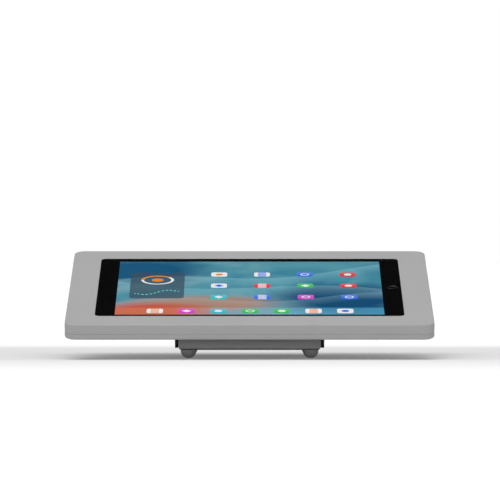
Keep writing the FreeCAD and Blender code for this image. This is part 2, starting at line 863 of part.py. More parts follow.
def tablet_supports():
    """The soft pieces that hold the tablet: corner cradles, back cushions and the gasket of the window."""
    gap = size.cradle_clearance
    body, ring = slab(
        "corner_cradles",
        TABLET_WIDTH + (gap + CRADLE_WALL) * 2,
        TABLET_DEPTH + (gap + CRADLE_WALL) * 2,
        FLOOR_TOP,
        PLATE_UNDER - size.cradle_top_gap,
        size.tablet_corner + gap + size.cradle_round,
    )
    top = PLATE_UNDER - size.cradle_top_gap
    cut_plan(
        body,
        FLOOR_TOP,
        top,
        lambda sketch: rectangle(
            sketch,
            TABLET_WIDTH + gap * 2,
            TABLET_DEPTH + gap * 2,
            corner=size.tablet_corner + gap,
        ),
    )
    clear_x = TABLET_WIDTH - size.cradle_leg * 2
    clear_y = TABLET_DEPTH - size.cradle_leg * 2
    cut_plan(
        body,
        FLOOR_TOP,
        top,
        lambda sketch: rectangle(sketch, clear_x, ENCLOSURE_DEPTH),
    )
    cut_plan(
        body,
        FLOOR_TOP,
        top,
        lambda sketch: rectangle(sketch, ENCLOSURE_WIDTH, clear_y),
    )

    cushion_x = TABLET_WIDTH / 2 - size.cushion_inset_x
    cushion_y = TABLET_DEPTH / 2 - size.cushion_inset_y
    places = corner_points(cushion_x, cushion_y)
    places += [(as_size(0), cushion_y * side) for side in SIGNS]
    boxes(
        "back_cushions",
        [(size.cushion_width, size.cushion_depth, x, y, FLOOR_TOP, TABLET_UNDER) for x, y in places],
    )

    # A flange between the glass and the window's rim, and a lip that lines the window up to its bevel
    body = new_part("window_gasket")
    for bottom, rise, outer in (
        (GLASS_TOP, size.gasket_thickness, size.gasket_flange),
        (RIM_UNDER, size.window_rim - size.window_bevel, as_size(0)),
    ):
        sketch = new_sketch(body, "XY_Plane", bottom)
        for growth in (outer, -size.gasket_lip):
            rectangle(
                sketch,
                WINDOW_WIDTH + growth * 2,
                WINDOW_DEPTH + growth * 2,
                corner=size.window_corner + growth,
            )
        pad(sketch, rise)


def tablet_housing():
    """The tablet's metal tray: rim and ledge for the glass, cavity, and the holes in its edges and back."""
    body, block = slab(
        "tablet_housing",
        TABLET_WIDTH,
        TABLET_DEPTH,
        TABLET_UNDER,
        GLASS_TOP,
        size.tablet_corner,
    )
    dress("Fillet", block, size.tablet_edge_round, lambda edge: lies_at(edge, "z", TABLET_UNDER))
    rim = size.housing_rim
    cut_plan(
        body,
        MASK_UNDER,
        GLASS_TOP,
        lambda sketch: rectangle(
            sketch,
            TABLET_WIDTH - rim * 2,
            TABLET_DEPTH - rim * 2,
            corner=size.tablet_corner - rim,
        ),
    )
    cut_plan(
        body,
        CAVITY_FLOOR,
        MASK_UNDER,
        lambda sketch: rectangle(
            sketch, CAVITY_X * 2, CAVITY_Y * 2, corner=size.tablet_corner - size.housing_wall
        ),
    )
    cut_plan(
        body,
        TABLET_UNDER - OVERCUT,
        CAVITY_FLOOR,
        lambda sketch: circle(
            sketch, REAR_CAMERA_X, REAR_CAMERA_Y, size.rear_camera_radius + size.fit
        ),
    )
    left = -TABLET_WIDTH / 2
    slot_radius = size.side_button_radius + size.side_button_gap
    side = new_sketch(body, "YZ_Plane", left + size.housing_wall + OVERCUT)
    stadium(side, POWER_Y, BUTTON_HEIGHT, size.side_button_run, slot_radius)
    circle(side, JACK_Y, CAVITY_FLOOR + size.jack_rise / 2, size.jack_radius)
    pocket(side, size.housing_wall + OVERCUT * 2)
    back = new_sketch(body, "XZ_Plane", -TABLET_DEPTH / 2 + size.housing_wall + OVERCUT)
    for x in (VOLUME_UP_X, VOLUME_DOWN_X):
        stadium(back, -x, BUTTON_HEIGHT, size.side_button_run, slot_radius)
    pocket(back, size.housing_wall + OVERCUT * 2)
    right = new_sketch(body, "YZ_Plane", TABLET_WIDTH / 2 + OVERCUT)
    rectangle(
        right,
        size.port_width + size.fit * 2,
        size.port_rise,
        0,
        CAVITY_FLOOR + size.port_rise / 2,
    )
    pocket(right, size.housing_wall + OVERCUT * 2)


def stadium(sketch, x, y, half_run, radius):
    """A slot along the sketch's x axis. Each round end is two quarter arcs."""
    x, y = as_size(x), as_size(y)
    far = half_run + radius
    points = [
        (x - half_run, y - radius),
        (x + half_run, y - radius),
        (x + far, y),
        (x + half_run, y + radius),
        (x - half_run, y + radius),
        (x - far, y),
    ]
    outline(sketch, points, {1: radius, 2: radius, 4: radius, 5: radius})


def tablet_front():
    """Cover glass, the black mask under it, and the display panel."""
    rim = size.housing_rim + size.glass_clearance
    width = TABLET_WIDTH - rim * 2
    depth = TABLET_DEPTH - rim * 2
    corner = size.tablet_corner - rim
    ring = size.home_radius + size.home_ring_gap + size.home_ring_wall
    body, _ = slab("cover_glass", width, depth, GLASS_UNDER, GLASS_TOP, corner)
    cut_plan(
        body,
        GLASS_UNDER,
        GLASS_TOP,
        lambda sketch: circle(sketch, HOME_X, 0, ring + size.fit),
    )

    body, _ = slab("bezel_mask", width, depth, MASK_UNDER, GLASS_UNDER, corner)

    def draw_mask_holes(sketch):
        rectangle(sketch, size.screen_width, size.screen_depth)
        circle(sketch, HOME_X, 0, size.home_radius + size.home_play)
        circle(sketch, -HOME_X, 0, size.camera_pupil)

    cut_plan(body, MASK_UNDER, GLASS_UNDER, draw_mask_holes)

    border = size.panel_border * 2
    boxes(
        "display_panel",
        [
            (
                size.screen_width + border,
                size.screen_depth + border,
                0,
                0,
                PANEL_UNDER,
                MASK_UNDER,
            )
        ],
    )


def home_button():
    """The pressed cap with its retaining flange, its trim ring, and the switch below it."""
    top = GLASS_TOP - size.home_sink
    flange_top = MASK_UNDER - size.home_play
    flange = size.home_radius + size.home_flange
    turned_upright(
        "home_button",
        [
            (0, HOME_UNDER),
            (flange, HOME_UNDER),
            (flange, flange_top),
            (size.home_radius, flange_top),
            (size.home_radius, top - size.home_edge),
            (size.home_radius - size.home_edge, top),
            (size.home_radius / 2, top - size.home_dish * 0.8),
            (0, top - size.home_dish),
        ],
        HOME_X,
        0,
    )
    body = new_part("home_button_ring")
    sketch = new_sketch(body, "XY_Plane", GLASS_UNDER)
    circle(sketch, HOME_X, 0, size.home_radius + size.home_ring_gap + size.home_ring_wall)
    circle(sketch, HOME_X, 0, size.home_radius + size.home_ring_gap)
    pad(sketch, size.glass_thickness)
    side = size.home_switch_side
    boxes("home_switch", [(side, side, HOME_X, 0, PORT_TOP, HOME_SWITCH_TOP)])


def side_buttons():
    """Power and volume buttons: a cap through the edge slot with a flange inside, and the switch behind."""
    run = size.side_button_run
    radius = size.side_button_radius
    wider = radius + size.side_button_lip
    proud = size.side_button_proud
    flange = size.side_button_flange
    throw = size.side_button_travel + size.fit

    left = -TABLET_WIDTH / 2
    inner = -CAVITY_X + size.side_button_gap
    body = new_part("power_button")
    sketch = new_sketch(body, "YZ_Plane", left - proud)
    stadium(sketch, POWER_Y, BUTTON_HEIGHT, run, radius)
    pad(sketch, inner - left + proud)
    sketch = new_sketch(body, "YZ_Plane", inner)
    stadium(sketch, POWER_Y, BUTTON_HEIGHT, run, wider)
    pad(sketch, flange)
    switch_x = inner + flange + throw + size.switch_side / 2
    boxes(
        "power_switch",
        [
            (
                size.switch_side,
                run * 2,
                switch_x,
                POWER_Y,
                CAVITY_FLOOR,
                BUTTON_HEIGHT + size.switch_above,
            )
        ],
    )

    back = TABLET_DEPTH / 2
    inner = CAVITY_Y - size.side_button_gap
    for name, x in (("volume_up_button", VOLUME_UP_X), ("volume_down_button", VOLUME_DOWN_X)):
        body = new_part(name)
        sketch = new_sketch(body, "XZ_Plane", -(back + proud))
        stadium(sketch, -x, BUTTON_HEIGHT, run, radius)
        pad(sketch, back + proud - inner)
        sketch = new_sketch(body, "XZ_Plane", -inner)
        stadium(sketch, -x, BUTTON_HEIGHT, run, wider)
        pad(sketch, flange)
    switch_y = inner - flange - throw - size.switch_side / 2
    switch_top = BUTTON_HEIGHT + size.switch_above
    boxes(
        "volume_switches",
        [
            (run * 2, size.switch_side, -x, switch_y, CAVITY_FLOOR, switch_top)
            for x in (VOLUME_UP_X, VOLUME_DOWN_X)
        ],
    )


def tablet_insides():
    """Cells, boards, shields, speakers, cameras and sockets, each standing on the tray's floor."""
    cell_width = BOARD_INNER - size.cell_board_gap - size.cell_gap / 2
    cell_x = (cell_width + size.cell_gap) / 2
    boxes(
        "battery_cells",
        [
            (
                cell_width,
                (CAVITY_Y - size.cell_end_gap) * 2,
                cell_x * side,
                0,
                CAVITY_FLOOR,
                CAVITY_FLOOR + size.cell_thickness,
            )
            for side in SIGNS
        ],
    )
    board_top = CAVITY_FLOOR + size.board_thickness
    board_depth = (SPEAKER_Y - size.speaker_depth / 2 - size.speaker_board_gap) * 2
    logic_x = -(BOARD_INNER + size.logic_board_width / 2)
    port_x = BOARD_INNER + size.port_board_width / 2
    boxes(
        "logic_board",
        [
            (
                size.logic_board_width,
                board_depth,
                logic_x,
                0,
                CAVITY_FLOOR,
                board_top,
            )
        ],
    )
    boxes(
        "port_board",
        [
            (
                size.port_board_width,
                board_depth - size.port_board_shorter,
                port_x,
                0,
                CAVITY_FLOOR,
                board_top,
            )
        ],
    )
    shield_width = size.logic_board_width - size.shield_margin * 2
    shield_depth = (board_depth - size.shield_margin * 4) / 3
    step = shield_depth + size.shield_margin
    boxes(
        "board_shields",
        [
            (
                shield_width,
                shield_depth,
                logic_x,
                step * row,
                board_top,
                board_top + size.shield_rise,
            )
            for row in (-1, 0, 1)
        ],
    )
    boxes(
        "speakers",
        [
            (
                size.speaker_width,
                size.speaker_depth,
                x,
                y,
                CAVITY_FLOOR,
                CAVITY_FLOOR + size.speaker_rise,
            )
            for x, y in corner_points(SPEAKER_X, SPEAKER_Y)
        ],
    )

    camera_end = MASK_UNDER - size.camera_length
    turned_upright(
        "front_camera",
        [
            (0, camera_end),
            (size.camera_radius, camera_end),
            (size.camera_radius, MASK_UNDER),
            (0, MASK_UNDER),
        ],
        -HOME_X,
        0,
    )
    lens_under = TABLET_UNDER + size.rear_camera_sink
    rear_top = CAVITY_FLOOR + size.rear_camera_rise
    barrel = size.rear_camera_radius + size.rear_camera_shoulder
    turned_upright(
        "rear_camera",
        [
            (0, lens_under),
            (size.rear_camera_radius, lens_under),
            (size.rear_camera_radius, CAVITY_FLOOR),
            (barrel, CAVITY_FLOOR),
            (barrel, rear_top),
            (0, rear_top),
        ],
        REAR_CAMERA_X,
        REAR_CAMERA_Y,
    )

    port_end = TABLET_WIDTH / 2 - size.port_setback
    port_x = port_end - size.port_length / 2
    body = boxes(
        "charge_port",
        [(size.port_length, size.port_width, port_x, 0, CAVITY_FLOOR, PORT_TOP)],
    )
    mouth = new_sketch(body, "YZ_Plane", port_end)
    inside = size.port_wall * 2
    height = size.port_rise - size.port_wall
    rectangle(mouth, size.port_width - inside, height, 0, CAVITY_FLOOR + size.port_rise / 2)
    pocket(mouth, size.port_depth)

    jack_x = -(CAVITY_X - size.fit - size.jack_length / 2)
    body = boxes(
        "headphone_jack",
        [
            (
                size.jack_length,
                size.jack_body,
                jack_x,
                JACK_Y,
                CAVITY_FLOOR,
                CAVITY_FLOOR + size.jack_rise,
            )
        ],
    )
    bore_end = -(CAVITY_X - size.fit) + size.jack_depth
    bore = new_sketch(body, "YZ_Plane", bore_end)
    circle(bore, JACK_Y, CAVITY_FLOOR + size.jack_rise / 2, size.jack_radius)
    pocket(bore, size.jack_length)


def tilt_bracket():
    """The folded bracket behind the shell: a plate with four screw holes and two slotted cheeks."""
    body = new_part("tilt_bracket")
    front = PIVOT_HEAD_Y - size.bracket_front
    reach = PIVOT_HEAD_Y + size.cheek_reach

    def cheek_bottom(y):
        """The cheek's lower edge is level while the head stands at its rest tilt."""
        ahead = y - PIVOT_HEAD_Y
        return PIVOT_HEAD_Z - (size.cheek_drop + ahead * sine(size.tilt)) / cosine(size.tilt)

    side = new_sketch(body, "YZ_Plane", -CHEEK_OUTSIDE)
    outline(
        side,
        [
            (front, SHELL_BOTTOM),
            (front, cheek_bottom(front)),
            (reach, cheek_bottom(reach)),
            (size.cheek_end, BRACKET_UNDER),
            (size.bracket_rear, BRACKET_UNDER),
            (size.bracket_rear, SHELL_BOTTOM),
        ],
    )
    block = pad(side, CHEEK_OUTSIDE * 2)

    def low_corner(y):
        z = cheek_bottom(y)
        return lambda edge: (
            runs_along(edge, "x") and near(edge.CenterOfMass.y, y) and near(edge.CenterOfMass.z, z)
        )

    corners = dress(
        "Fillet",
        block,
        size.bracket_corner,
        lambda edge: runs_along(edge, "z") and near(edge.CenterOfMass.y, size.bracket_rear),
    )
    nose = dress("Fillet", corners, size.cheek_front_round, low_corner(front))
    heel = dress("Fillet", nose, size.cheek_rear_round, low_corner(reach))
    dress(
        "Fillet",
        heel,
        size.bracket_bend,
        lambda edge: (
            runs_along(edge, "y")
            and lies_at(edge, "z", SHELL_BOTTOM)
            and near(abs(edge.CenterOfMass.x), CHEEK_OUTSIDE)
        ),
    )
    length = size.bracket_rear - front
    middle = (size.bracket_rear + front) / 2
    deepest = cheek_bottom(reach) - OVERCUT
    cut_plan(
        body,
        deepest,
        BRACKET_UNDER,
        lambda sketch: rectangle(sketch, CHEEK_INSIDE * 2, length + OVERCUT * 2, 0, middle),
    )

    def draw_plate_holes(sketch):
        circle(sketch, 0, 0, size.bracket_hole)
        for x, y in corner_points(size.plate_pitch / 2, size.plate_pitch / 2):
            circle(sketch, x, y, size.plate_screw_radius + size.screw_clearance)

    cut_plan(body, BRACKET_UNDER - OVERCUT, SHELL_BOTTOM, draw_plate_holes)
    holes = new_sketch(body, "YZ_Plane", CHEEK_OUTSIDE + OVERCUT)
    circle(holes, PIVOT_HEAD_Y, PIVOT_HEAD_Z, size.pivot_radius + size.running_fit)
    draw_clamp_slot(holes)
    pocket(holes, (CHEEK_OUTSIDE + OVERCUT) * 2)


def draw_clamp_slot(sketch):
    """The curved slot round the pivot that the clamp bolt slides in, as long as the tilt's range."""
    radius = root(size.clamp_ahead * size.clamp_ahead + size.clamp_drop * size.clamp_drop)
    sink = math.degrees(math.atan2(size.clamp_drop.number, size.clamp_ahead.number))
    at_rest = -size.tilt - Size(sink, "atan2(sizes.clamp_drop; sizes.clamp_ahead) / 1deg")
    half = size.clamp_radius + size.clamp_slot_fit
    low = at_rest - size.tilt_up
    high = at_rest + size.tilt_down

    def at(angle, distance, ahead=0):
        y = PIVOT_HEAD_Y + cosine(angle) * distance - sine(angle) * as_size(ahead)
        z = PIVOT_HEAD_Z + sine(angle) * distance + cosine(angle) * as_size(ahead)
        return y, z

    points = [
        at(low, radius - half),
        at(low, radius, -half),
        at(low, radius + half),
        at(high, radius + half),
        at(high, radius, half),
        at(high, radius - half),
    ]
    outline(
        sketch,
        points,
        {0: half, 1: half, 2: radius + half, 3: half, 4: half, 5: -(radius - half)},
    )


def base_bracket():
    """The folded base: floor with desk holes and cable slot, front wall, and side walls for the pivot."""
    body = new_part("base_bracket", in_head=False)
    bottom = size.foot_height
    top = bottom + size.side_wall_rise
    rear_top = bottom + size.rear_wall_rise
    shoulder = BASE_FRONT + size.shoulder_inset
    heel = shoulder + size.shoulder_run
    foot = heel + size.shoulder_slope
    side = new_sketch(body, "YZ_Plane", -BASE_HALF)
    outline(
        side,
        [
            (BASE_FRONT, bottom),
            (BASE_REAR, bottom),
            (BASE_REAR, rear_top),
            (foot, rear_top),
            (heel, top),
            (shoulder, top),
            (BASE_FRONT, bottom + size.front_wall_rise),
        ],
    )
    block = pad(side, size.base_width)

    def upper_corner(edge):
        centre = edge.CenterOfMass
        spots = ((BASE_REAR, rear_top), (foot, rear_top), (heel, top), (shoulder, top))
        return runs_along(edge, "x") and any(near(centre.y, y) and near(centre.z, z) for y, z in spots)

    softened = dress("Fillet", block, size.wall_corner, upper_corner)
    dress(
        "Fillet",
        softened,
        size.base_bend,
        lambda edge: (
            lies_at(edge, "z", bottom) and not near(edge.CenterOfMass.y, BASE_REAR)
        ),
    )
    inner_front = BASE_FRONT + size.base_sheet
    run = BASE_REAR + OVERCUT - inner_front
    cut_plan(
        body,
        BASE_TOP,
        top + OVERCUT,
        lambda sketch: rectangle(
            sketch, (BASE_HALF - size.base_sheet) * 2, run, 0, inner_front + run / 2
        ),
    )

    def draw_floor(sketch):
        for x, y in foot_places():
            circle(sketch, x, y, size.stud_radius + size.screw_clearance)
        for x, y in corner_points(size.desk_pitch_x / 2, size.desk_pitch_y / 2):
            circle(sketch, x, BASE_MIDDLE + y, size.desk_hole)
        slot_y = BASE_REAR - size.base_slot_from_rear
        stadium(sketch, 0, slot_y, size.base_slot_run, size.base_slot_radius)

    cut_plan(body, bottom - OVERCUT, BASE_TOP, draw_floor)
    holes = new_sketch(body, "YZ_Plane", BASE_HALF + OVERCUT)
    circle(holes, PIVOT_Y, size.pivot_height, size.pivot_radius + size.fit)
    circle(holes, CLAMP_Y, CLAMP_Z, size.clamp_radius + size.fit)
    pocket(holes, size.base_width + OVERCUT * 2)


def foot_places():
    rows = (BASE_FRONT + size.foot_inset_y, BASE_REAR - size.foot_inset_y)
    return [((BASE_HALF - size.foot_inset_x) * side, y) for side in SIGNS for y in rows]


def feet():
    """Round-nosed rubber feet with moulded-in studs, and the nuts that hold them to the base floor."""
    dome = root(size.foot_radius * size.foot_radius - size.foot_flat * size.foot_flat)
    stud_low = size.foot_height - size.stud_depth
    bore = size.stud_radius + size.fit
    stud_top = BASE_TOP + size.stud_nut_rise + size.stud_tip
    body = new_part("rubber_feet", in_head=False)
    for x, y in foot_places():
        sketch = new_sketch(body, "XZ_Plane", -y, x=x)
        outline(
            sketch,
            [
                (0, 0),
                (size.foot_flat, 0),
                (size.foot_radius, dome),
                (size.foot_radius, size.foot_height),
                (bore, size.foot_height),
                (bore, stud_low),
                (0, stud_low),
            ],
            {1: size.foot_radius},
        )
        turn(sketch, "V_Axis")

    studs = new_part("foot_studs", in_head=False)
    sketch = new_sketch(studs, "XY_Plane", stud_low)
    for x, y in foot_places():
        circle(sketch, x, y, size.stud_radius)
    pad(sketch, stud_top - stud_low)

    nuts = new_part("foot_nuts", in_head=False)
    sketch = new_sketch(nuts, "XY_Plane", BASE_TOP)
    for x, y in foot_places():
        hexagon(sketch, x, y, size.stud_nut_side)
        circle(sketch, x, y, size.stud_radius + size.fit)
    pad(sketch, size.stud_nut_rise)


def sideways_bolts(name, y, z, radius, head_radius, head_rise, tip):
    """A pair of button-head bolts along X, head outwards, with a round key recess."""
    seat = CHEEK_OUTSIDE + size.running_gap + size.washer_thickness
    end = seat + head_rise
    body, bolt = turned_sideways(
        name,
        [
            (tip, 0),
            (tip, radius - size.bolt_edge),
            (tip + size.bolt_edge, radius),
            (seat, radius),
            (seat, head_radius),
            (seat + head_rise * 0.35, head_radius),
            (end, head_radius * 0.6),
            (end, head_radius * 0.36),
            (end - head_rise * 0.5, head_radius * 0.36),
            (end - head_rise * 0.5, 0),
        ],
        y,
        z,
    )
    mirror(body, [bolt], "YZ_Plane")


def sideways_rings(name, y, z, bore, radius, start, thickness):
    """A pair of washers about an axis along X."""
    body, ring = turned_sideways(
        name,
        [
            (start, bore),
            (start + thickness, bore),
            (start + thickness, radius),
            (start, radius),
        ],
        y,
        z,
    )
    mirror(body, [ring], "YZ_Plane")


def sideways_nuts(name, y, z, bore, side_distance, outer, rise):
    """A pair of hexagon nuts inside the side walls, outer being the face next to the wall."""
    body = new_part(name, in_head=False)
    sketch = new_sketch(body, "YZ_Plane", outer - rise)
    hexagon(sketch, y, z, side_distance)
    circle(sketch, y, z, bore)
    mirror(body, [pad(sketch, rise)], "YZ_Plane")


def pivot_hardware():
    """Pivot bolts with washers on both sides of each cheek, spring washers and nuts."""
    y, z = PIVOT_Y, size.pivot_height
    wall = BASE_HALF - size.base_sheet
    bore = size.pivot_radius + size.fit
    spring = size.washer_thickness
    nut_face = wall - spring
    tip = nut_face - size.pivot_nut_rise - size.bolt_tip
    sideways_bolts(
        "pivot_bolts", y, z, size.pivot_radius, size.pivot_head, size.pivot_head_rise, tip
    )
    sideways_rings(
        "pivot_washers",
        y,
        z,
        bore,
        size.pivot_washer_radius,
        CHEEK_OUTSIDE + size.running_gap,
        size.washer_thickness,
    )
    sideways_rings(
        "friction_washers",
        y,
        z,
        bore,
        size.pivot_washer_radius,
        BASE_HALF,
        size.cheek_gap - size.running_gap,
    )
    sideways_rings("spring_washers", y, z, bore, size.spring_washer_radius, nut_face, spring)
    sideways_nuts(
        "pivot_nuts", y, z, bore, size.pivot_nut_side, nut_face, size.pivot_nut_rise
    )


def clamp_hardware():
    """Clamp bolts that ride in the curved slots, their washers, and the nuts welded inside the base."""
    wall = BASE_HALF - size.base_sheet
    bore = size.clamp_radius + size.fit
    tip = wall - size.clamp_nut_rise - size.bolt_tip
    sideways_bolts(
        "clamp_bolts",
        CLAMP_Y,
        CLAMP_Z,
        size.clamp_radius,
        size.clamp_head,
        size.clamp_head_rise,
        tip,
    )
    sideways_rings(
        "clamp_washers",
        CLAMP_Y,
        CLAMP_Z,
        bore,
        size.clamp_washer_radius,
        CHEEK_OUTSIDE + size.running_gap,
        size.washer_thickness,
    )
    sideways_nuts(
        "clamp_nuts", CLAMP_Y, CLAMP_Z, bore, size.clamp_nut_side, wall, size.clamp_nut_rise
    )


def check_model():
    """Stops where an object failed or a sub-part's shape is missing or not valid."""
    for thing in doc.Objects:
        if "Invalid" in thing.State or "Error" in thing.State:
            raise RuntimeError(f"{thing.Name} failed: {thing.State}")
    for name, body in parts.items():
        if body.Shape.isNull() or not body.Shape.isValid():
            raise RuntimeError(f"{name} has no valid shape")


def write_parts():
    """One STEP file for each sub-part, named by its label."""
    os.makedirs("parts", exist_ok=True)
    for body in parts.values():
        body.Shape.exportStep(f"parts/{body.Label}.step")
        box = body.Shape.BoundBox
        print(
            f"{body.Label:20} {len(body.Shape.Solids)} solids, {body.Shape.Volume / 1000:8.2f} cm3, "
            f"z {box.ZMin:7.2f} to {box.ZMax:7.2f}"
        )


front_cover()
rear_shell()
cover_fasteners()
plate_fasteners()
cable_grommet()
tablet_supports()
tablet_housing()
tablet_front()
home_button()
side_buttons()
tablet_insides()
tilt_bracket()
base_bracket()
feet()
pivot_hardware()
clamp_hardware()
doc.recompute()
check_model()
write_parts()
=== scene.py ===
"""Looks of the tablet enclosure on its tilting desk mount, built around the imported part. Metres."""

import json
import math
from functools import partialmethod

import bmesh
import bpy
from mathutils import Matrix, Vector


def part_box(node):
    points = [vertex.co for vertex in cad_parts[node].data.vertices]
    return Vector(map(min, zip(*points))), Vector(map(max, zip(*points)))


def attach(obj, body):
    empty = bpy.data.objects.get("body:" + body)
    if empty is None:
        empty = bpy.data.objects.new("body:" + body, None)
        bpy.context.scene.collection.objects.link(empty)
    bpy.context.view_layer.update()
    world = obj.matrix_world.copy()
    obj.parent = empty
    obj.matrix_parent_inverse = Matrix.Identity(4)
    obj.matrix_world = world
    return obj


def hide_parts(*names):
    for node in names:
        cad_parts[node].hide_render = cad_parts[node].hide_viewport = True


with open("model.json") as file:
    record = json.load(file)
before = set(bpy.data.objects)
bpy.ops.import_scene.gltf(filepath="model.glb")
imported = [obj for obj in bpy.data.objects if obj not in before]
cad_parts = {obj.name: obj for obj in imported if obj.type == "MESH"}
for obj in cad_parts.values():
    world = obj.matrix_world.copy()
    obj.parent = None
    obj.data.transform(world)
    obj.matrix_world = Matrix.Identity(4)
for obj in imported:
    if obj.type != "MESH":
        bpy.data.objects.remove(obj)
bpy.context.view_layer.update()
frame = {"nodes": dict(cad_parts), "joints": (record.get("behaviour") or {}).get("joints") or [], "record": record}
joints = {joint["name"]: joint for joint in frame["joints"]}
scene = bpy.context.scene

MM = 0.001
TILT = math.radians(15)
PIVOT = Vector(joints["tilt"]["pos_m"])
# The head's own frame: x to the right, y up the face, z out of the face, whose height is 0
HEAD = Matrix.Translation(PIVOT) @ Matrix.Rotation(TILT, 4, "X") @ Matrix.Translation((0, 0.0593, 0.0283))

# Enclosure, in the head's frame, in millimetres. An outline is half a width, half a depth and a corner
OUTLINE = (178.95, 137.2, 11.0)
WINDOW = (150.7, 106.7, 5.5)
REBATE = (153.65, 111.1, 10.8)
PLATE_UNDER, RIM_UNDER, COVER_BOTTOM, SHELL_BOTTOM, FLOOR_TOP = -1.0, -0.5, -10.0, -15.7, -13.2
GLASS_TOP, GLASS_UNDER, TABLET_UNDER = -0.7, -1.6, -7.6
SIDE_WALL, LIP_GAP, LIP_WALL, LIP_RISE = 3.0, 0.2, 1.5, 1.6
FACE_ROUND, SHELL_ROUND, SEAM_BEVEL = 1.2, 2.0, 0.35
BOSS_PLACES = [(x, y) for x in (-168.45, -75, 75, 168.45) for y in (-126.7, 126.7)]
PLATE_SCREW_PLACES = [(x, y) for x in (-50, 50) for y in (-50, 50)]
VENT_ROWS, VENT_PITCH, VENT_LENGTH, VENT_WIDTH, VENT_X = 7, 12.0, 40.0, 4.0, 110.0
HOME_X = 142.15
SCREEN_WIDTH, SCREEN_DEPTH = 262.9, 197.0

# Base, in the part's frame, in millimetres. The bolts' washers lie on the cheeks, and their heads on those
BASE_HALF, BASE_SHEET = 69.8, 3.0
CLAMP = PIVOT / MM + Vector((0, 24, -3))
CHEEK_FACE, WASHER = 73.35, 1.2
BOLT_SEAT = CHEEK_FACE + WASHER
FOOT_RADIUS, FOOT_FLAT = 7.8, 1.8

RING_POINTS = 48
CORNERS = ((1, 1), (-1, 1), (-1, -1), (1, -1))
# Points of a node's mesh that are nearer than this, in metres, are one
WELD = 0.000002

# The floor: its tone and glow, its tones from 1 m in front to 1 m behind, which paint shade under the part and
# behind it, and how far aside they hold
FLOOR_TONE, FLOOR_GLOW = 0.83, 0.17
FLOOR_TONES = [(0.2, FLOOR_TONE), (0.3, 0.75), (0.43, 0.62), (0.445, 0.57), (0.68, 0.57), (0.78, FLOOR_TONE)]
FLOOR_REACH, FLOOR_FADE, FLOOR_HALF = 0.27, 0.7, 30.0
# What gloss sees of the studio at the sides and overhead, and what lights the part from there
GLOSS_DIM, GLOSS_TOP = 0.004, 0.18
DOME_SIDES, DOME_TOP = 0.37, 1.55
# Each lamp's name, the way that it shines, its spread in degrees and its power
LAMPS = (("soft_lamp", (0.3, 0.3, -1), 55, 0.78), ("low_fill", (0, 1, -0.06), 12, 0.57))
CAMERA_PLACE, LENS = (0.0004, -4.388, 0.106), 317.4


def give(thing, **settings):
    """Sets what a thing has by name, and returns it."""
    for name, value in settings.items():
        setattr(thing, name, value)
    return thing


# Node trees


def wire(socket, value):
    """Sets an input to a plain value, or links it to an output."""
    if isinstance(value, Field):
        value = value.socket
    if isinstance(value, bpy.types.NodeSocket):
        socket.id_data.links.new(value, socket)
    else:
        socket.default_value = value


def add_node(tree, kind, inputs=None, **settings):
    """A node with its settings. inputs are by name or by number."""
    node = give(tree.nodes.new(kind), **settings)
    for name, value in (inputs or {}).items():
        wire(node.inputs[name], value)
    return node


def add_socket(tree, name, kind, default=None, in_out="INPUT"):
    """Gives a group an input or an output."""
    socket = tree.interface.new_socket(name, in_out=in_out, socket_type=f"NodeSocket{kind}")
    if default is not None:
        socket.default_value = default


class Field:
    """A value that changes over a surface. Arithmetic on it is kept as Math nodes."""

    def __init__(self, socket):
        self.socket = socket
        self.tree = socket.id_data

    def math(self, operation, *others, clamp=False):
        values = dict(enumerate((self, *others)))
        node = add_node(self.tree, "ShaderNodeMath", values, operation=operation, use_clamp=clamp)
        return Field(node.outputs[0])

    # Here math is the method above
    __add__ = partialmethod(math, "ADD")
    __sub__ = partialmethod(math, "SUBTRACT")
    __mul__ = partialmethod(math, "MULTIPLY")
    __truediv__ = partialmethod(math, "DIVIDE")
    power = partialmethod(math, "POWER")
    reach = partialmethod(math, "ABSOLUTE")
    at_least = partialmethod(math, "MAXIMUM")
    at_most = partialmethod(math, "MINIMUM")
    above = partialmethod(math, "GREATER_THAN")

    def rest(self):
        """What it leaves of 1."""
        return self * -1.0 + 1.0

    def share(self, factor=1.0):
        """Times a factor, and kept from 0 to 1."""
        return self.math("MULTIPLY", factor, clamp=True)

    def mix(self, under, over):
        """This share of one colour over another. A colour is an output or three numbers."""
        under, over = ((*colour, 1) if isinstance(colour, tuple) else colour for colour in (under, over))
        inputs = {0: self, 6: under, 7: over}
        return add_node(self.tree, "ShaderNodeMix", inputs, data_type="RGBA").outputs[2]


def fields(node):
    """The outputs of a node, by name."""
    return {output.name: Field(output) for output in node.outputs}


def along(place, axis):
    """One coordinate of a place."""
    return Field(add_node(place.tree, "ShaderNodeSeparateXYZ", {"Vector": place}).outputs[axis])


def distance(x, y):
    """How far a point lies from 0."""
    return (x.power(2.0) + y.power(2.0)).math("SQRT")


def noise(place, scale, detail=2.0, roughness=0.5, distortion=0.0):
    inputs = dict(Vector=place, Scale=scale, Detail=detail, Roughness=roughness, Distortion=distortion)
    return Field(add_node(place.tree, "ShaderNodeTexNoise", inputs).outputs["Fac"])


def ramp(value, stops, interpolation="LINEAR"):
    """A colour ramp through (place, colour) stops."""
    node = add_node(value.tree, "ShaderNodeValToRGB", {"Fac": value})
    band = node.color_ramp
    band.interpolation = interpolation
    while len(band.elements) < len(stops):
        band.elements.new(0.5)
    for element, (place, colour) in zip(band.elements, stops):
        element.position = place
        element.color = (*colour, 1)
    return node.outputs["Color"]


def new_group(name, size, default, *outputs):
    """A shader node group for a place and a size in metres. outputs are names of numbers."""
    tree = bpy.data.node_groups.new(name, "ShaderNodeTree")
    add_socket(tree, "Vector", "Vector")
    add_socket(tree, size, "Float", default)
    for output in outputs:
        add_socket(tree, output, "Float", in_out="OUTPUT")
    given = fields(tree.nodes.new("NodeGroupInput"))
    return given["Vector"], given[size], tree.nodes.new("NodeGroupOutput").inputs


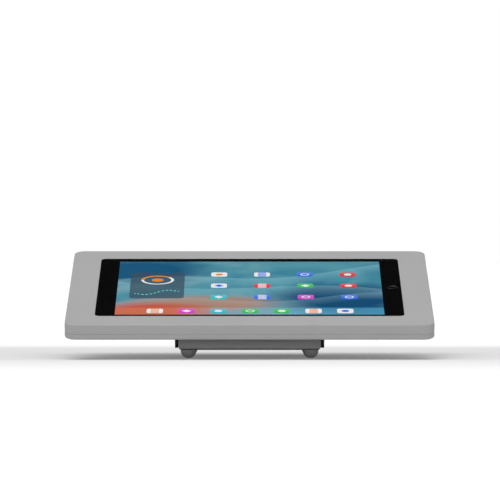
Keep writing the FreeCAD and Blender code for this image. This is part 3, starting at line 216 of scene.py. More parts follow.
def powder_coat_group():
    """Fine pebbled skin of baked powder: a height, and a mask of slightly darker grains."""
    place, size, out = new_group("powder_coat", "Pebble Size", 0.0009, "Height", "Grains")
    scale = size.power(-1.0)
    pebbles = noise(place, scale, 3.0, 0.55)
    waves = noise(place, scale * 0.22, 1.0)
    wire(out["Height"], pebbles * 0.7 + waves * 0.3)
    wire(out["Grains"], noise(place, scale * 2.6, 1.0).above(0.66))
    return place.tree


def handling_group():
    """Broad, faint patches left by wiping and touching, and specks of dust that lie in patches."""
    place, size, out = new_group("handling", "Patch Size", 0.06, "Patches", "Dust")
    scale = size.power(-1.0)
    wire(out["Patches"], noise(place, scale, 4.0, 0.6, 0.4))
    specks = noise(place, scale * 60.0, 0.0).above(0.79)
    patches = noise(place, scale * 1.7, 2.0).above(0.52)
    wire(out["Dust"], specks * patches)
    return place.tree


def worn_edge_group():
    """A mask of the narrow band along outside edges, broken up where wear has reached it."""
    place, band, out = new_group("worn_edge", "Band", 0.0006, "Wear")
    rounded = add_node(place.tree, "ShaderNodeBevel", {"Radius": band}, samples=6).outputs[0]
    flat = add_node(place.tree, "ShaderNodeNewGeometry").outputs["Normal"]
    dot = add_node(place.tree, "ShaderNodeVectorMath", {0: rounded, 1: flat}, operation="DOT_PRODUCT")
    turned = Field(dot.outputs["Value"]).rest() * 6.0
    wire(out["Wear"], (turned * noise(place, 420.0, 3.0, 0.7)).share())
    return place.tree


def drawn_metal_group():
    """Fine lines of drawn, turned or ground metal, along x."""
    place, width, out = new_group("drawn_metal", "Line Width", 0.0002, "Lines")
    stretch = {0: place, 1: (0.04, 1.0, 1.0)}
    drawn = add_node(place.tree, "ShaderNodeVectorMath", stretch, operation="MULTIPLY").outputs[0]
    wire(out["Lines"], noise(Field(drawn), width.power(-1.0), 2.0, 0.7))
    return place.tree


def foam_group():
    """Open pores of cut foam rubber: a height, and a mask of the pores, whose darker colour is painted shade in
    their hollows.
    """
    place, size, out = new_group("foam_pores", "Pore Size", 0.0011, "Height", "Pores")
    cells = add_node(place.tree, "ShaderNodeTexVoronoi", {"Vector": place, "Scale": size.power(-1.0)})
    from_middle = Field(cells.outputs["Distance"])
    wire(out["Height"], from_middle.math("SMOOTH_MIN", 0.6, 0.2))
    # Painted shade: the mask is 1 in the hollows of the height, where the pores are darkened
    wire(out["Pores"], (from_middle * -2.4 + 1.0).share())
    return place.tree


POWDER = powder_coat_group()
HANDLING = handling_group()
WORN_EDGE = worn_edge_group()
DRAWN = drawn_metal_group()
FOAM = foam_group()


# Materials


MATERIALS = {}


def use_group(group, place, **values):
    """The outputs of a shared effect, for a place and a size in metres."""
    node = add_node(place.tree, "ShaderNodeGroup", {"Vector": place}, node_tree=group)
    for name, value in values.items():
        node.inputs[name.replace("_", " ").title()].default_value = value
    return fields(node)


def new_material(name, colour, roughness, metallic=0.0, **constants):
    """A material with a Principled shader. Returns the shader's inputs and the place on the piece."""
    material = MATERIALS[name] = bpy.data.materials.new(name)
    material.use_nodes = True
    shader = material.node_tree.nodes["Principled BSDF"].inputs
    shader["Base Color"].default_value = (*colour, 1)
    shader["Roughness"].default_value = roughness
    shader["Metallic"].default_value = metallic
    for constant, value in constants.items():
        shader[constant.replace("_", " ")].default_value = value
    return shader, Field(add_node(material.node_tree, "ShaderNodeTexCoord").outputs["Object"])


def head_place(place):
    """The place in the head's own frame, so that patterns lie along the enclosure."""
    frame_of_head = {"Vector": place, "Location": HEAD.translation, "Rotation": (TILT, 0, 0)}
    return Field(add_node(place.tree, "ShaderNodeMapping", frame_of_head, vector_type="TEXTURE").outputs[0])


def grey(level):
    return (level, level, level)


def shade(colour, factor):
    return tuple(channel * factor for channel in colour)


def shades(share, colour, dark, light):
    """A colour that goes from a darker to a lighter shade of itself."""
    return share.mix(shade(colour, dark), shade(colour, light))


def finish(shader, tone, roughness=None, height=None, depth=0.0):
    """Gives a shader its colour, its roughness, and relief whose depth is in metres."""
    wire(shader["Base Color"], tone)
    if roughness is not None:
        wire(shader["Roughness"], roughness)
    if height is not None:
        bump = add_node(height.tree, "ShaderNodeBump", {"Height": height, "Distance": depth})
        wire(shader["Normal"], bump.outputs["Normal"])


def painted(name, colour, roughness, pebble, wear_colour, wear_share, painted_shade_top=None):
    """Baked powder coat: pebbled skin, faint patches, dust, rubbed edges, and painted shade below a height."""
    shader, place = new_material(name, colour, roughness, Specular_IOR_Level=0.4)
    skin = use_group(POWDER, place, pebble_size=pebble)
    handled = use_group(HANDLING, place, patch_size=0.07)
    worn = use_group(WORN_EDGE, place, band=0.0005)
    tone = shades(handled["Patches"], colour, 0.965, 1.03)
    tone = (skin["Grains"] * 0.35).mix(tone, shade(colour, 0.86))
    tone = (handled["Dust"] * 0.3).mix(tone, (0.6, 0.59, 0.57))
    tone = (worn["Wear"] * wear_share).mix(tone, wear_colour)
    if painted_shade_top:
        # Painted shade: the colour darkens below a height, along the lowest edge, in patches
        painted_shade = ((along(place, "Z") - painted_shade_top) * -2500.0 + handled["Patches"]).share()
        tone = (painted_shade * 0.75).mix(tone, shade(colour, 0.35))
    finish(shader, tone, handled["Patches"] * 0.16 + (roughness - 0.08), skin["Height"], 0.00004)


def steel(name, colour, roughness):
    """Plated or oxidised fastener steel: turned lines, uneven plating and brighter rubbed edges."""
    shader, place = new_material(name, colour, roughness, 1.0)
    lines = use_group(DRAWN, place, line_width=0.0003)["Lines"]
    patches = use_group(HANDLING, place, patch_size=0.006)["Patches"]
    worn = use_group(WORN_EDGE, place, band=0.0003)
    tone = (worn["Wear"] * 0.6).mix(shades(patches, colour, 0.8, 1.15), grey(0.62))
    finish(shader, tone, lines * 0.2 + patches * 0.12 + (roughness - 0.15), lines, 0.00001)


def anodised(name, colour, roughness):
    """Bead-blasted and anodised aluminium."""
    shader, place = new_material(name, colour, roughness, 1.0)
    skin = use_group(POWDER, place, pebble_size=0.00022)
    patches = use_group(HANDLING, place, patch_size=0.05)["Patches"]
    tone = shades(patches, colour, 0.94, 1.05)
    finish(shader, tone, patches * 0.12 + (roughness - 0.06), skin["Height"], 0.000008)


def moulded(name, colour, roughness):
    """Injection-moulded plastic with a light spark-eroded texture."""
    shader, place = new_material(name, colour, roughness)
    skin = use_group(POWDER, place, pebble_size=0.0003)
    patches = use_group(HANDLING, place, patch_size=0.02)["Patches"]
    tone = shades(patches, colour, 0.9, 1.1)
    finish(shader, tone, patches * 0.15 + (roughness - 0.07), skin["Height"], 0.00001)


def rubber(name, colour, roughness):
    """Moulded rubber with a fine matt skin and a little bloom."""
    shader, place = new_material(name, colour, roughness, Specular_IOR_Level=0.35)
    skin = use_group(POWDER, place, pebble_size=0.0005)
    handled = use_group(HANDLING, place, patch_size=0.012)
    tone = (handled["Dust"] * 0.35).mix(shades(handled["Patches"], colour, 0.85, 1.18), (0.45, 0.44, 0.42))
    finish(shader, tone, handled["Patches"] * 0.2 + (roughness - 0.1), skin["Height"], 0.00002)


def foam(name, colour):
    """Die-cut closed-cell foam."""
    shader, place = new_material(name, colour, 0.9, Specular_IOR_Level=0.2)
    pores = use_group(FOAM, place, pore_size=0.0011)
    # The pores are darkened, a painted shade in their hollows
    finish(shader, pores["Pores"].mix(colour, shade(colour, 0.3)), None, pores["Height"], 0.00012)


def cell_wrap(name):
    """Crinkled black pouch film of a flat cell, with painted shade in the hollows of its creases and a painted
    highlight on their crests.
    """
    shader, place = new_material(name, (0.03, 0.03, 0.032), 0.35)
    creases_and_shade = noise(place, 55.0, 5.0, 0.7, 1.6)
    # Painted shade and highlight: the colour follows the height of the creases
    tone = creases_and_shade.mix((0.02, 0.02, 0.022), (0.05, 0.05, 0.054))
    finish(shader, tone, creases_and_shade * 0.25 + 0.22, creases_and_shade, 0.0002)


def circuit_board(name):
    """Green solder mask over copper tracks, with tinned pads."""
    shader, place = new_material(name, (0.02, 0.09, 0.04), 0.3)
    place = head_place(place)
    bricks = {"Vector": place, "Scale": 260.0, "Mortar Size": 0.03, "Mortar Smooth": 0.2}
    tracks = Field(add_node(place.tree, "ShaderNodeTexBrick", bricks).outputs["Fac"])
    squares = {"Vector": place, "Scale": 330.0}
    cells = add_node(place.tree, "ShaderNodeTexVoronoi", squares, distance="CHEBYCHEV")
    pads = Field(cells.outputs["Distance"]).math("LESS_THAN", 0.16)
    tone = pads.mix(tracks.mix((0.012, 0.07, 0.03), (0.04, 0.17, 0.06)), (0.62, 0.6, 0.55))
    finish(shader, tone, None, tracks + pads, 0.00004)
    wire(shader["Metallic"], pads)


def clear_glass(name):
    """Strengthened cover glass, with faint smears in its gloss."""
    shader, place = new_material(name, grey(1), 0.02, IOR=1.5, Transmission_Weight=1.0)
    smears = use_group(HANDLING, place, patch_size=0.08)["Patches"]
    wire(shader["Roughness"], (smears - 0.5).at_least(0.0) * 0.12)


def gloss_black(name, colour, roughness=0.06, shine=0.5):
    """Polished black: ink or lens under glass, or a glossy cap."""
    shader, place = new_material(name, colour, roughness, Specular_IOR_Level=shine)
    smears = use_group(HANDLING, place, patch_size=0.02)["Patches"]
    finish(shader, shades(smears, colour, 0.8, 1.2), smears * 0.08 + roughness * 0.5)


# The screen's picture, in millimetres from its middle


WHITE, ORANGE, BLUE = (0.88, 0.88, 0.89), (0.88, 0.28, 0.01), (0.006, 0.15, 0.85)
# The colour of a tile and that of the sign on it
TILES = (
    (WHITE, ORANGE),
    ((0.01, 0.52, 0.08), WHITE),
    ((0.74, 0.012, 0.02), WHITE),
    (BLUE, WHITE),
    (ORANGE, WHITE),
    ((0.86, 0.86, 0.87), BLUE),
    ((0.68, 0.03, 0.6), WHITE),
    ((0.005, 0.5, 0.62), WHITE),
)
TILE_HALF, TILE_CORNER = 8.0, 3.4
SHELF_TOP = -SCREEN_DEPTH / 2 + 25.0


def rounded_box(x, y, half_x, half_y, corner):
    """Distance from the edge of a rounded box about 0, below 0 inside it."""
    over_x = x.reach() - (half_x - corner)
    over_y = y.reach() - (half_y - corner)
    outside = distance(over_x.at_least(0.0), over_y.at_least(0.0))
    return outside + over_x.at_least(over_y).at_most(0.0) - corner


def inside_of(edge, soft=0.3):
    """1 inside an edge and 0 outside it, over a soft edge in millimetres."""
    return (edge * (-1.0 / soft) + 0.5).share()


def tiles(x, y, under, pitch_x, pitch_y, columns, rows, seed):
    """Columns and rows of rounded squares, each with a colour and a plain sign of its own."""
    column = (x / pitch_x).math("FLOOR")
    row = (y / pitch_y).math("FLOOR")
    own_x = x - (column + 0.5) * pitch_x
    own_y = y - (row + 0.5) * pitch_y
    number = add_node(x.tree, "ShaderNodeCombineXYZ", {"X": column + seed, "Y": row + seed * 2.0}).outputs[0]
    draw = add_node(x.tree, "ShaderNodeTexWhiteNoise", {"Vector": number}, noise_dimensions="2D")
    pick = Field(draw.outputs["Value"])
    in_columns = (column + 0.5).math("COMPARE", columns / 2, columns / 2)
    in_rows = (row + 0.5).math("COMPARE", rows / 2, rows / 2)
    tile = inside_of(rounded_box(own_x, own_y, TILE_HALF, TILE_HALF, TILE_CORNER)) * (in_columns * in_rows)
    places = [index / len(TILES) for index in range(len(TILES))]
    face, sign = (ramp(pick, list(zip(places, colours)), "CONSTANT") for colours in zip(*TILES))
    shine = (own_y / (2 * TILE_HALF) + 0.5) * 0.12
    face = shine.mix(face, grey(1))

    # The sign is a disc, a circle, bars or a diamond
    from_middle = distance(own_x, own_y)
    mark = inside_of(from_middle - 3.8)
    circle = inside_of((from_middle - 3.7).reach() - 0.7)
    bars = inside_of(rounded_box(own_x, own_y.math("PINGPONG", 2.3) - 1.15, 4.3, 0.7, 0.6))
    diamond = inside_of(own_x.reach() + own_y.reach() - 4.7)
    shape = (pick * 37.0).math("FRACT")
    for level, other in ((0.27, circle), (0.52, bars), (0.77, diamond)):
        chosen = shape.above(level)
        mark = mark * chosen.rest() + other * chosen
    return tile.mix(under, mark.mix(face, sign))


def card(x, y, under):
    """A dark card with a gauge and a rising line of dots, about its own middle."""
    pale, bright = (0.85, 0.87, 0.88), (0.85, 0.26, 0.015)
    half_x, half_y, corner = 27.0, 48.0, 5.0
    picture = (inside_of(rounded_box(x, y, half_x, half_y, corner)) * 0.82).mix(under, (0.04, 0.08, 0.12))

    dial_y, dial, half_line, hub = y - 20.0, 15.0, 1.4, 6.0
    from_dial = distance(x, dial_y)
    gauge = inside_of((from_dial - dial).reach() - half_line)
    picture = gauge.mix(picture, pale)
    picture = (gauge * dial_y.math("ARCTAN2", x).above(0.7)).mix(picture, bright)
    picture = inside_of(from_dial - hub).mix(picture, bright)

    pitch, dot = 4.0, 1.3
    step = x.math("PINGPONG", pitch) - pitch / 2
    rise = y + 26.0 - (x * 0.16).math("SINE") * 5.0 - x * 0.25
    dots = inside_of(distance(step, rise) - dot)
    return (dots * inside_of(x.reach() - (half_x - 5.0))).mix(picture, (0.2, 0.75, 0.7))


def screen_picture(name):
    """A lit display: pools of colour under ribbons, a card, rows of plain tiles and a shelf low down."""
    dark = (0.01, 0.01, 0.012)
    shader, place = new_material(name, dark, 0.5, Specular_IOR_Level=0.0, Emission_Strength=1.2)
    place = head_place(place)
    x, y = (along(place, axis) * 1000.0 for axis in "XY")
    haze = noise(place, 7.0, 4.0, 0.6, 0.8)
    picture = ramp(haze, [(0.3, (0.03, 0.21, 0.32)), (0.5, (0.09, 0.31, 0.39)), (0.72, (0.24, 0.39, 0.43))])

    # The middle, the half sizes and the colour of each pool
    for middle_x, middle_y, half_x, half_y, colour in (
        (-120.0, 62.0, 92.0, 62.0, (0.006, 0.095, 0.205)),
        (-44.0, -58.0, 88.0, 34.0, (0.42, 0.23, 0.16)),
        (-96.0, -88.0, 70.0, 40.0, (0.56, 0.1, 0.06)),
        (92.0, -44.0, 86.0, 66.0, (0.003, 0.07, 0.17)),
    ):
        fall = ((x - middle_x) / half_x).power(2.0) + ((y - middle_y) / half_y).power(2.0) + haze * 0.9
        picture = (fall * -1.0 + 1.45).share(1.3).mix(picture, colour)

    # A ribbon is clear at its upper edge and fades below it
    for low, slope, swell, pace, width, strength in (
        (48.0, 0.22, 16.0, 0.024, 34.0, 0.3),
        (6.0, -0.2, 20.0, 0.019, 44.0, 0.26),
        (-40.0, 0.1, 12.0, 0.03, 28.0, 0.2),
    ):
        depth = (x * pace + low).math("SINE") * swell + x * slope + low - y
        ribbon = (depth / 3.0).share() * (depth / -width + 1.0).share()
        picture = (ribbon * strength).mix(picture, (0.34, 0.66, 0.76))

    # The shelf is warm at the left and blue at the right
    bands = [(0.2, (0.75, 0.24, 0.13)), (0.45, (0.42, 0.5, 0.56)), (0.7, (0.1, 0.47, 0.75))]
    picture = ((y * -1.0 + SHELF_TOP).share(8.0) * 0.4).mix(picture, ramp(x / 260.0 + 0.5, bands))
    for left, low, pitch_x, pitch_y, columns, rows, seed in (
        (-52.0, -56.0, 43.0, 42.0, 4, 3, 3.0),
        (-108.0, SHELF_TOP - 23.0, 31.0, 22.0, 7, 1, 11.0),
    ):
        picture = tiles(x - left, y - low, picture, pitch_x, pitch_y, columns, rows, seed)
    picture = card(x + 92.0, y - 8.0, picture)
    lit = inside_of(rounded_box(x, y, SCREEN_WIDTH / 2, SCREEN_DEPTH / 2, 0.5))
    wire(shader["Emission Color"], lit.mix(grey(0), picture))


# Each paint's colour, roughness, size of pebbles in metres, and the colour and share of its wear
painted("enclosure_paint", grey(0.42), 0.55, 0.0009, grey(0.55), 0.25)
# The base's paint darkens below 9.2 mm, a painted shade along its lowest edge
painted("base_paint", grey(0.44), 0.55, 0.0008, grey(0.3), 0.3, painted_shade_top=0.0092)
painted("bracket_paint", (0.022, 0.022, 0.023), 0.5, 0.0008, grey(0.12), 0.35)
rubber("foot_rubber", grey(0.38), 0.62)
foam("black_foam", (0.012, 0.012, 0.0125))
rubber("grommet_rubber", (0.02, 0.02, 0.021), 0.5)
steel("dark_steel", (0.07, 0.07, 0.072), 0.42)
steel("zinc_steel", (0.6, 0.6, 0.62), 0.38)
steel("insert_brass", (0.75, 0.53, 0.24), 0.32)
moulded("washer_nylon", (0.72, 0.7, 0.64), 0.45)
anodised("tablet_metal", (0.3, 0.3, 0.31), 0.38)
clear_glass("front_glass")
gloss_black("mask_ink", (0.003, 0.003, 0.0033), roughness=0.6, shine=0.0)
screen_picture("screen")
gloss_black("button_glass", (0.006, 0.006, 0.0065))
anodised("trim_metal", (0.35, 0.35, 0.36), 0.3)
cell_wrap("cell_wrap")
circuit_board("circuit_board")
steel("shield_can", grey(0.55), 0.35)
moulded("black_plastic", (0.02, 0.02, 0.021), 0.45)
gloss_black("lens_glass", (0.008, 0.009, 0.014))


# Meshes


def polar(reach, angle, height):
    return Vector((reach * math.cos(angle), reach * math.sin(angle), height))


def ring(height, radius=math.inf, flats=math.inf, points=RING_POINTS):
    """A loop of points about z: a circle, a hexagon by half its flats, or whichever is the nearer."""
    loop = []
    for index in range(points):
        angle = math.tau * index / points
        reach = min(radius, flats / math.cos(angle % (math.pi / 3) - math.pi / 6))
        loop.append(polar(reach, angle, height))
    return loop


def rings(profile, points=RING_POINTS):
    """Circles for the radii and heights of a profile."""
    return [ring(height, radius, points=points) for radius, height in profile]


def framed(outline, inset, height, steps):
    """A loop of points round a rounded rectangle, moved in by an inset."""
    half_x, half_y, corner = (size - inset for size in outline)
    loop = []
    for turn, (i, j) in enumerate(CORNERS):
        for step in range(steps + 1):
            angle = (turn + step / steps) * math.pi / 2
            x = i * (half_x - corner) + corner * math.cos(angle)
            y = j * (half_y - corner) + corner * math.sin(angle)
            loop.append(Vector((x, y, height)))
    return loop


def frames(outline, section, steps=10):
    """Rounded rectangles for the insets and heights of a section."""
    return [framed(outline, inset, height, steps) for inset, height in section]


def loft(loops, closed=False, mesh=None, spots=((0, 0),)):
    """Skins loops of equal counts, in a new mesh or another one, once at each spot. Returns the mesh.

    A closed loft joins its last loop to its first, others get end faces.
    """
    if mesh is None:
        mesh = bmesh.new()
    for x, y in spots:
        shift = Vector((x, y, 0))
        rows = [[mesh.verts.new((point + shift) * MM) for point in loop] for loop in loops]
        for low, high in zip(rows, rows[1:] + rows[:closed]):
            for index in range(len(low)):
                after = (index + 1) % len(low)
                mesh.faces.new((low[index], low[after], high[after], high[index]))
        if not closed:
            mesh.faces.new(rows[0][::-1])
            mesh.faces.new(rows[-1])
    return mesh


def plain_mesh(name, mesh):
    """Turns a bmesh, which this uses up, into mesh data with its faces outwards."""
    mesh.normal_update()
    bmesh.ops.recalc_face_normals(mesh, faces=mesh.faces)
    data = bpy.data.meshes.new(name)
    mesh.to_mesh(data)
    mesh.free()
    return data


def put(name, data):
    """Makes an object of its data in the scene."""
    thing = bpy.data.objects.new(name, data)
    scene.collection.objects.link(thing)
    return thing


def settled(piece):
    """Puts the result of a piece's modifiers in its mesh and removes them."""
    bpy.context.view_layer.update()
    graph = bpy.context.evaluated_depsgraph_get()
    data = bpy.data.meshes.new_from_object(piece.evaluated_get(graph), depsgraph=graph)
    data.name = piece.name
    piece.modifiers.clear()
    piece.data = data
    return piece


def smoothed(piece, sharp):
    """Smooths a piece, but keeps its edges above an angle in degrees."""
    piece.data.shade_smooth()
    piece.data.set_sharp_from_angle(angle=math.radians(sharp))
    give(piece.modifiers.new("even", "WEIGHTED_NORMAL"), keep_sharp=True)
    return settled(piece)


def coat(data, slot):
    """Gives a mesh its finish and no other."""
    data.materials.clear()
    data.materials.append(MATERIALS[slot])


def stand_for(piece, slot, body, node):
    """Gives a piece its finish and its body, and hides the node that it stands for."""
    coat(piece.data, slot)
    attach(piece, body)
    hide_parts(node)
    return piece


def add_piece(name, mesh, slot, node, body="head", place=HEAD, sharp=32):
    """The piece that stands for a node, made of a mesh in the head's frame or at another place."""
    mesh.transform(place)
    return stand_for(smoothed(put(name, plain_mesh(name, mesh)), sharp), slot, body, node)


def new_tree(name, *inputs):
    """A geometry tree. inputs are the name, the kind and perhaps the default of each."""
    tree = bpy.data.node_groups.new(name, "GeometryNodeTree")
    for given in inputs:
        add_socket(tree, *given)
    add_socket(tree, "Geometry", "Geometry", in_out="OUTPUT")
    return tree, fields(tree.nodes.new("NodeGroupInput"))


def copies_at(points, unit):
    """A unit object's mesh at each of some points."""
    mesh = add_node(points.tree, "GeometryNodeObjectInfo", {"Object": unit}).outputs["Geometry"]
    copies = {"Points": points, "Instance": mesh}
    return add_node(points.tree, "GeometryNodeInstanceOnPoints", copies).outputs[0]


def end_tree(tree, geometry, material):
    """Every tree ends in plain mesh that carries its material."""
    real = add_node(tree, "GeometryNodeRealizeInstances", {"Geometry": geometry})
    dressed = add_node(tree, "GeometryNodeSetMaterial", {"Geometry": real.outputs[0], "Material": material})
    wire(tree.nodes.new("NodeGroupOutput").inputs[0], dressed.outputs[0])
    return tree


def run_tree(piece, tree, **values):
    """Runs a geometry tree on a piece, with values for its named inputs."""
    modifier = piece.modifiers.new(tree.name, "NODES")
    modifier.node_group = tree
    for name, value in values.items():
        modifier[tree.interface.items_tree[name].identifier] = value


def set_out_tree():
    """Puts a copy of one unit at each point of a mesh."""
    tree, given = new_tree("set_out", ("Points", "Geometry"), ("Unit", "Object"), ("Material", "Material"))
    return end_tree(tree, copies_at(given["Points"], given["Unit"]), given["Material"])


SET_OUT = set_out_tree()


def set_out(name, unit, places, slot, body, node, place=Matrix()):
    """The piece that stands for a node, made of copies of a unit's mesh. Places are in millimetres."""
    unit_name = f"{name}_unit"
    unit_object = bpy.data.objects.new(unit_name, plain_mesh(unit_name, unit))
    points = bpy.data.meshes.new(name)
    points.from_pydata([Vector(spot) * MM for spot in places], [], [])
    piece = put(name, points)
    run_tree(piece, SET_OUT, Unit=unit_object, Material=MATERIALS[slot])
    settled(piece)
    bpy.data.objects.remove(unit_object)
    piece.data.transform(place)
    return stand_for(smoothed(piece, 32), slot, body, node)


# Enclosure and tablet


def quarter(radius):
    """Insets and heights along a quarter round, up from the side to a face at height 0."""
    angles = [math.pi / 2 * step / 6 for step in range(7)]
    return [(radius - radius * math.cos(angle), radius * math.sin(angle) - radius) for angle in angles]


def front_cover():
    """The cover: side walls and face in one skin, round edge, bevelled window, and bosses inside."""
    side = [(SEAM_BEVEL, COVER_BOTTOM), (0, COVER_BOTTOM + SEAM_BEVEL), *quarter(FACE_ROUND)]
    bevel = [(-0.15, 0.0), (-0.05, -0.05), (0.0, -0.15), (0.0, RIM_UNDER)]
    rebate = [(0, RIM_UNDER), (0, PLATE_UNDER)]
    inside = [(SIDE_WALL, PLATE_UNDER), (SIDE_WALL, COVER_BOTTOM)]
    loops = frames(OUTLINE, side) + frames(WINDOW, bevel) + frames(REBATE, rebate) + frames(OUTLINE, inside)
    mesh = loft(loops, closed=True)
    root, bore, bore_end = PLATE_UNDER + 0.2, 2.35, FLOOR_TOP + 6.0
    boss = [(bore, FLOOR_TOP), (3.8, FLOOR_TOP), (4.0, FLOOR_TOP + 0.2), (4.0, PLATE_UNDER - 0.3)]
    boss += [(4.5, root), (0.6, root), (0.6, bore_end + 0.2), (bore, bore_end)]
    loft(rings(boss), True, mesh, BOSS_PLACES)
    add_piece("cover", mesh, "enclosure_paint", "front_cover")


def slot_row_tree():
    """Cuts a row of plugs, which are round-ended slots, out of each side of a body."""
    tree, given = new_tree(
        "slot_row",
        ("Body", "Geometry"),
        ("Plug", "Object"),
        ("Count", "Int", VENT_ROWS),
        ("Pitch", "Float", VENT_PITCH * MM),
        ("Side", "Float", VENT_X * MM),
        ("Material", "Material"),
    )
    first = given["Pitch"] * (given["Count"] - 1.0) * -0.5
    joined = add_node(tree, "GeometryNodeJoinGeometry")
    for side in (-1.0, 1.0):
        start = add_node(tree, "ShaderNodeCombineXYZ", {"X": given["Side"] * side, "Y": first})
        step = add_node(tree, "ShaderNodeCombineXYZ", {"Y": given["Pitch"]})
        row = {"Count": given["Count"], "Start Location": start.outputs[0], "Offset": step.outputs[0]}
        wire(joined.inputs[0], add_node(tree, "GeometryNodeMeshLine", row).outputs[0])
    plugs = {"Geometry": copies_at(Field(joined.outputs[0]), given["Plug"])}
    real = add_node(tree, "GeometryNodeRealizeInstances", plugs).outputs[0]
    meshes = {"Mesh 1": given["Body"], "Mesh 2": real}
    cut = add_node(tree, "GeometryNodeMeshBoolean", meshes, operation="DIFFERENCE", solver="EXACT")
    return end_tree(tree, cut.outputs["Mesh"], given["Material"])


def rear_shell():
    """The tray: rounded lower edge, bevelled seam, lip, screw recesses, cable hole and rows of vents."""
    lip = SIDE_WALL + LIP_GAP
    inner, top = lip + LIP_WALL, COVER_BOTTOM + LIP_RISE
    section = [(inset, SHELL_BOTTOM - rise) for inset, rise in reversed(quarter(SHELL_ROUND))]
    section += [(0, COVER_BOTTOM - SEAM_BEVEL), (SEAM_BEVEL, COVER_BOTTOM), (lip, COVER_BOTTOM)]
    section += [(lip, top - 0.3), (lip + 0.3, top), (inner, top)]
    section += [(inner, FLOOR_TOP + 0.6), (inner + 0.6, FLOOR_TOP)]
    shell = loft(frames(OUTLINE, section))

    below, above = SHELL_BOTTOM - 1, FLOOR_TOP + 1
    mouth, sink, bore, seat = 3.35, 3.05, 1.7, SHELL_BOTTOM + 1.5
    recess = [(mouth, below), (mouth, SHELL_BOTTOM), (sink, SHELL_BOTTOM + 0.3), (sink, seat)]
    recess += [(bore, seat), (bore, above)]
    holes = loft(rings(recess), spots=BOSS_PLACES)
    insert_hole, cable_hole = 3.55, 11.05
    loft(rings([(insert_hole, below), (insert_hole, above)]), mesh=holes, spots=PLATE_SCREW_PLACES)
    loft(rings([(cable_hole, below), (cable_hole, above)]), mesh=holes)
    cutter = put("shell_holes", plain_mesh("shell_holes", holes))

    radius = VENT_WIDTH / 2
    slot = (VENT_LENGTH / 2, radius, radius - 0.01)
    flare = [(-0.5, below), (-0.5, SHELL_BOTTOM), (-0.15, SHELL_BOTTOM + 0.15)]
    flare += [(0.0, SHELL_BOTTOM + 0.5), (0.0, above)]
    plug = loft(frames(slot, flare, 6))
    plug_object = bpy.data.objects.new("vent_plug", plain_mesh("vent_plug", plug))

    piece = put("shell", plain_mesh("shell", shell))
    drilled = piece.modifiers.new("drilled", "BOOLEAN")
    give(drilled, object=cutter, operation="DIFFERENCE", solver="EXACT")
    run_tree(piece, slot_row_tree(), Plug=plug_object, Material=MATERIALS["enclosure_paint"])
    settled(piece)
    bpy.data.objects.remove(cutter)
    bpy.data.objects.remove(plug_object)
    piece.data.transform(HEAD)
    stand_for(smoothed(piece, 28), "enclosure_paint", "head", "rear_shell")


def grommet():
    """The rubber ring of the cable exit, with rounded lips."""
    lip, groove, bore = 12.5, 11.0, 6.0
    low, high = SHELL_BOTTOM - 1.2, FLOOR_TOP + 1.2
    section = [(bore, low + 0.7), (bore + 0.3, low + 0.2), (bore + 0.9, low)]
    section += [(lip - 0.6, low), (lip - 0.1, low + 0.3), (lip, low + 0.7)]
    section += [(lip, SHELL_BOTTOM), (groove, SHELL_BOTTOM), (groove, FLOOR_TOP), (lip, FLOOR_TOP)]
    section += [(lip, high - 0.5), (lip - 0.2, high - 0.15), (lip - 0.6, high)]
    section += [(bore + 0.9, high), (bore + 0.3, high - 0.2), (bore, high - 0.7)]
    add_piece("grommet", loft(rings(section), closed=True), "grommet_rubber", "cable_grommet", sharp=50)


def home_button():
    """The dished cap and its bright ring, flush with the glass."""
    under, rim, points = GLASS_UNDER - 0.9, GLASS_TOP - 0.15, 72
    flange, reach, flange_top = 5.9, 5.35, under + 0.65
    cap = [(0.3, under), (flange, under), (flange, flange_top), (reach, flange_top), (reach, rim - 0.2)]
    cap.append((5.3, rim - 0.05))
    dish, dish_depth, middle, steps = 5.2, 0.2, 0.05, 8
    for step in range(steps + 1):
        reach = (dish - middle) * (1 - step / steps) + middle
        cap.append((reach, rim - dish_depth * (1 - (reach / dish) ** 2)))
    mesh = loft(rings(cap, points), spots=[(HOME_X, 0)])
    add_piece("home_cap", mesh, "button_glass", "home_button", "home_button")

    inner, outer, edge = 5.45, 5.75, 0.08
    trim = [(inner, GLASS_UNDER), (outer, GLASS_UNDER), (outer, GLASS_TOP - edge)]
    trim += [(outer - edge, GLASS_TOP), (inner + edge, GLASS_TOP), (inner, GLASS_TOP - edge)]
    mesh = loft(rings(trim, points), closed=True, spots=[(HOME_X, 0)])
    add_piece("home_ring", mesh, "trim_metal", "home_button_ring")


def cushions():
    """Foam under the tablet, crowned where it is free and flat where it is pressed."""
    half_x, half_y, corner, crown, steps = 25, 12, 2.0, 0.8, 8
    loops = []
    for step in range(steps + 1):
        share = step / steps
        bulge = crown * math.sin(math.pi * share) - crown
        height = FLOOR_TOP + (TABLET_UNDER - FLOOR_TOP) * share
        loops.append(framed((half_x + bulge, half_y + bulge, corner), 0, height, 4))
    mesh = loft(loops, spots=[(x, y) for x in (-105, 0, 105) for y in (-75, 75)])
    piece = add_piece("foam_cushions", mesh, "black_foam", "back_cushions", sharp=50)


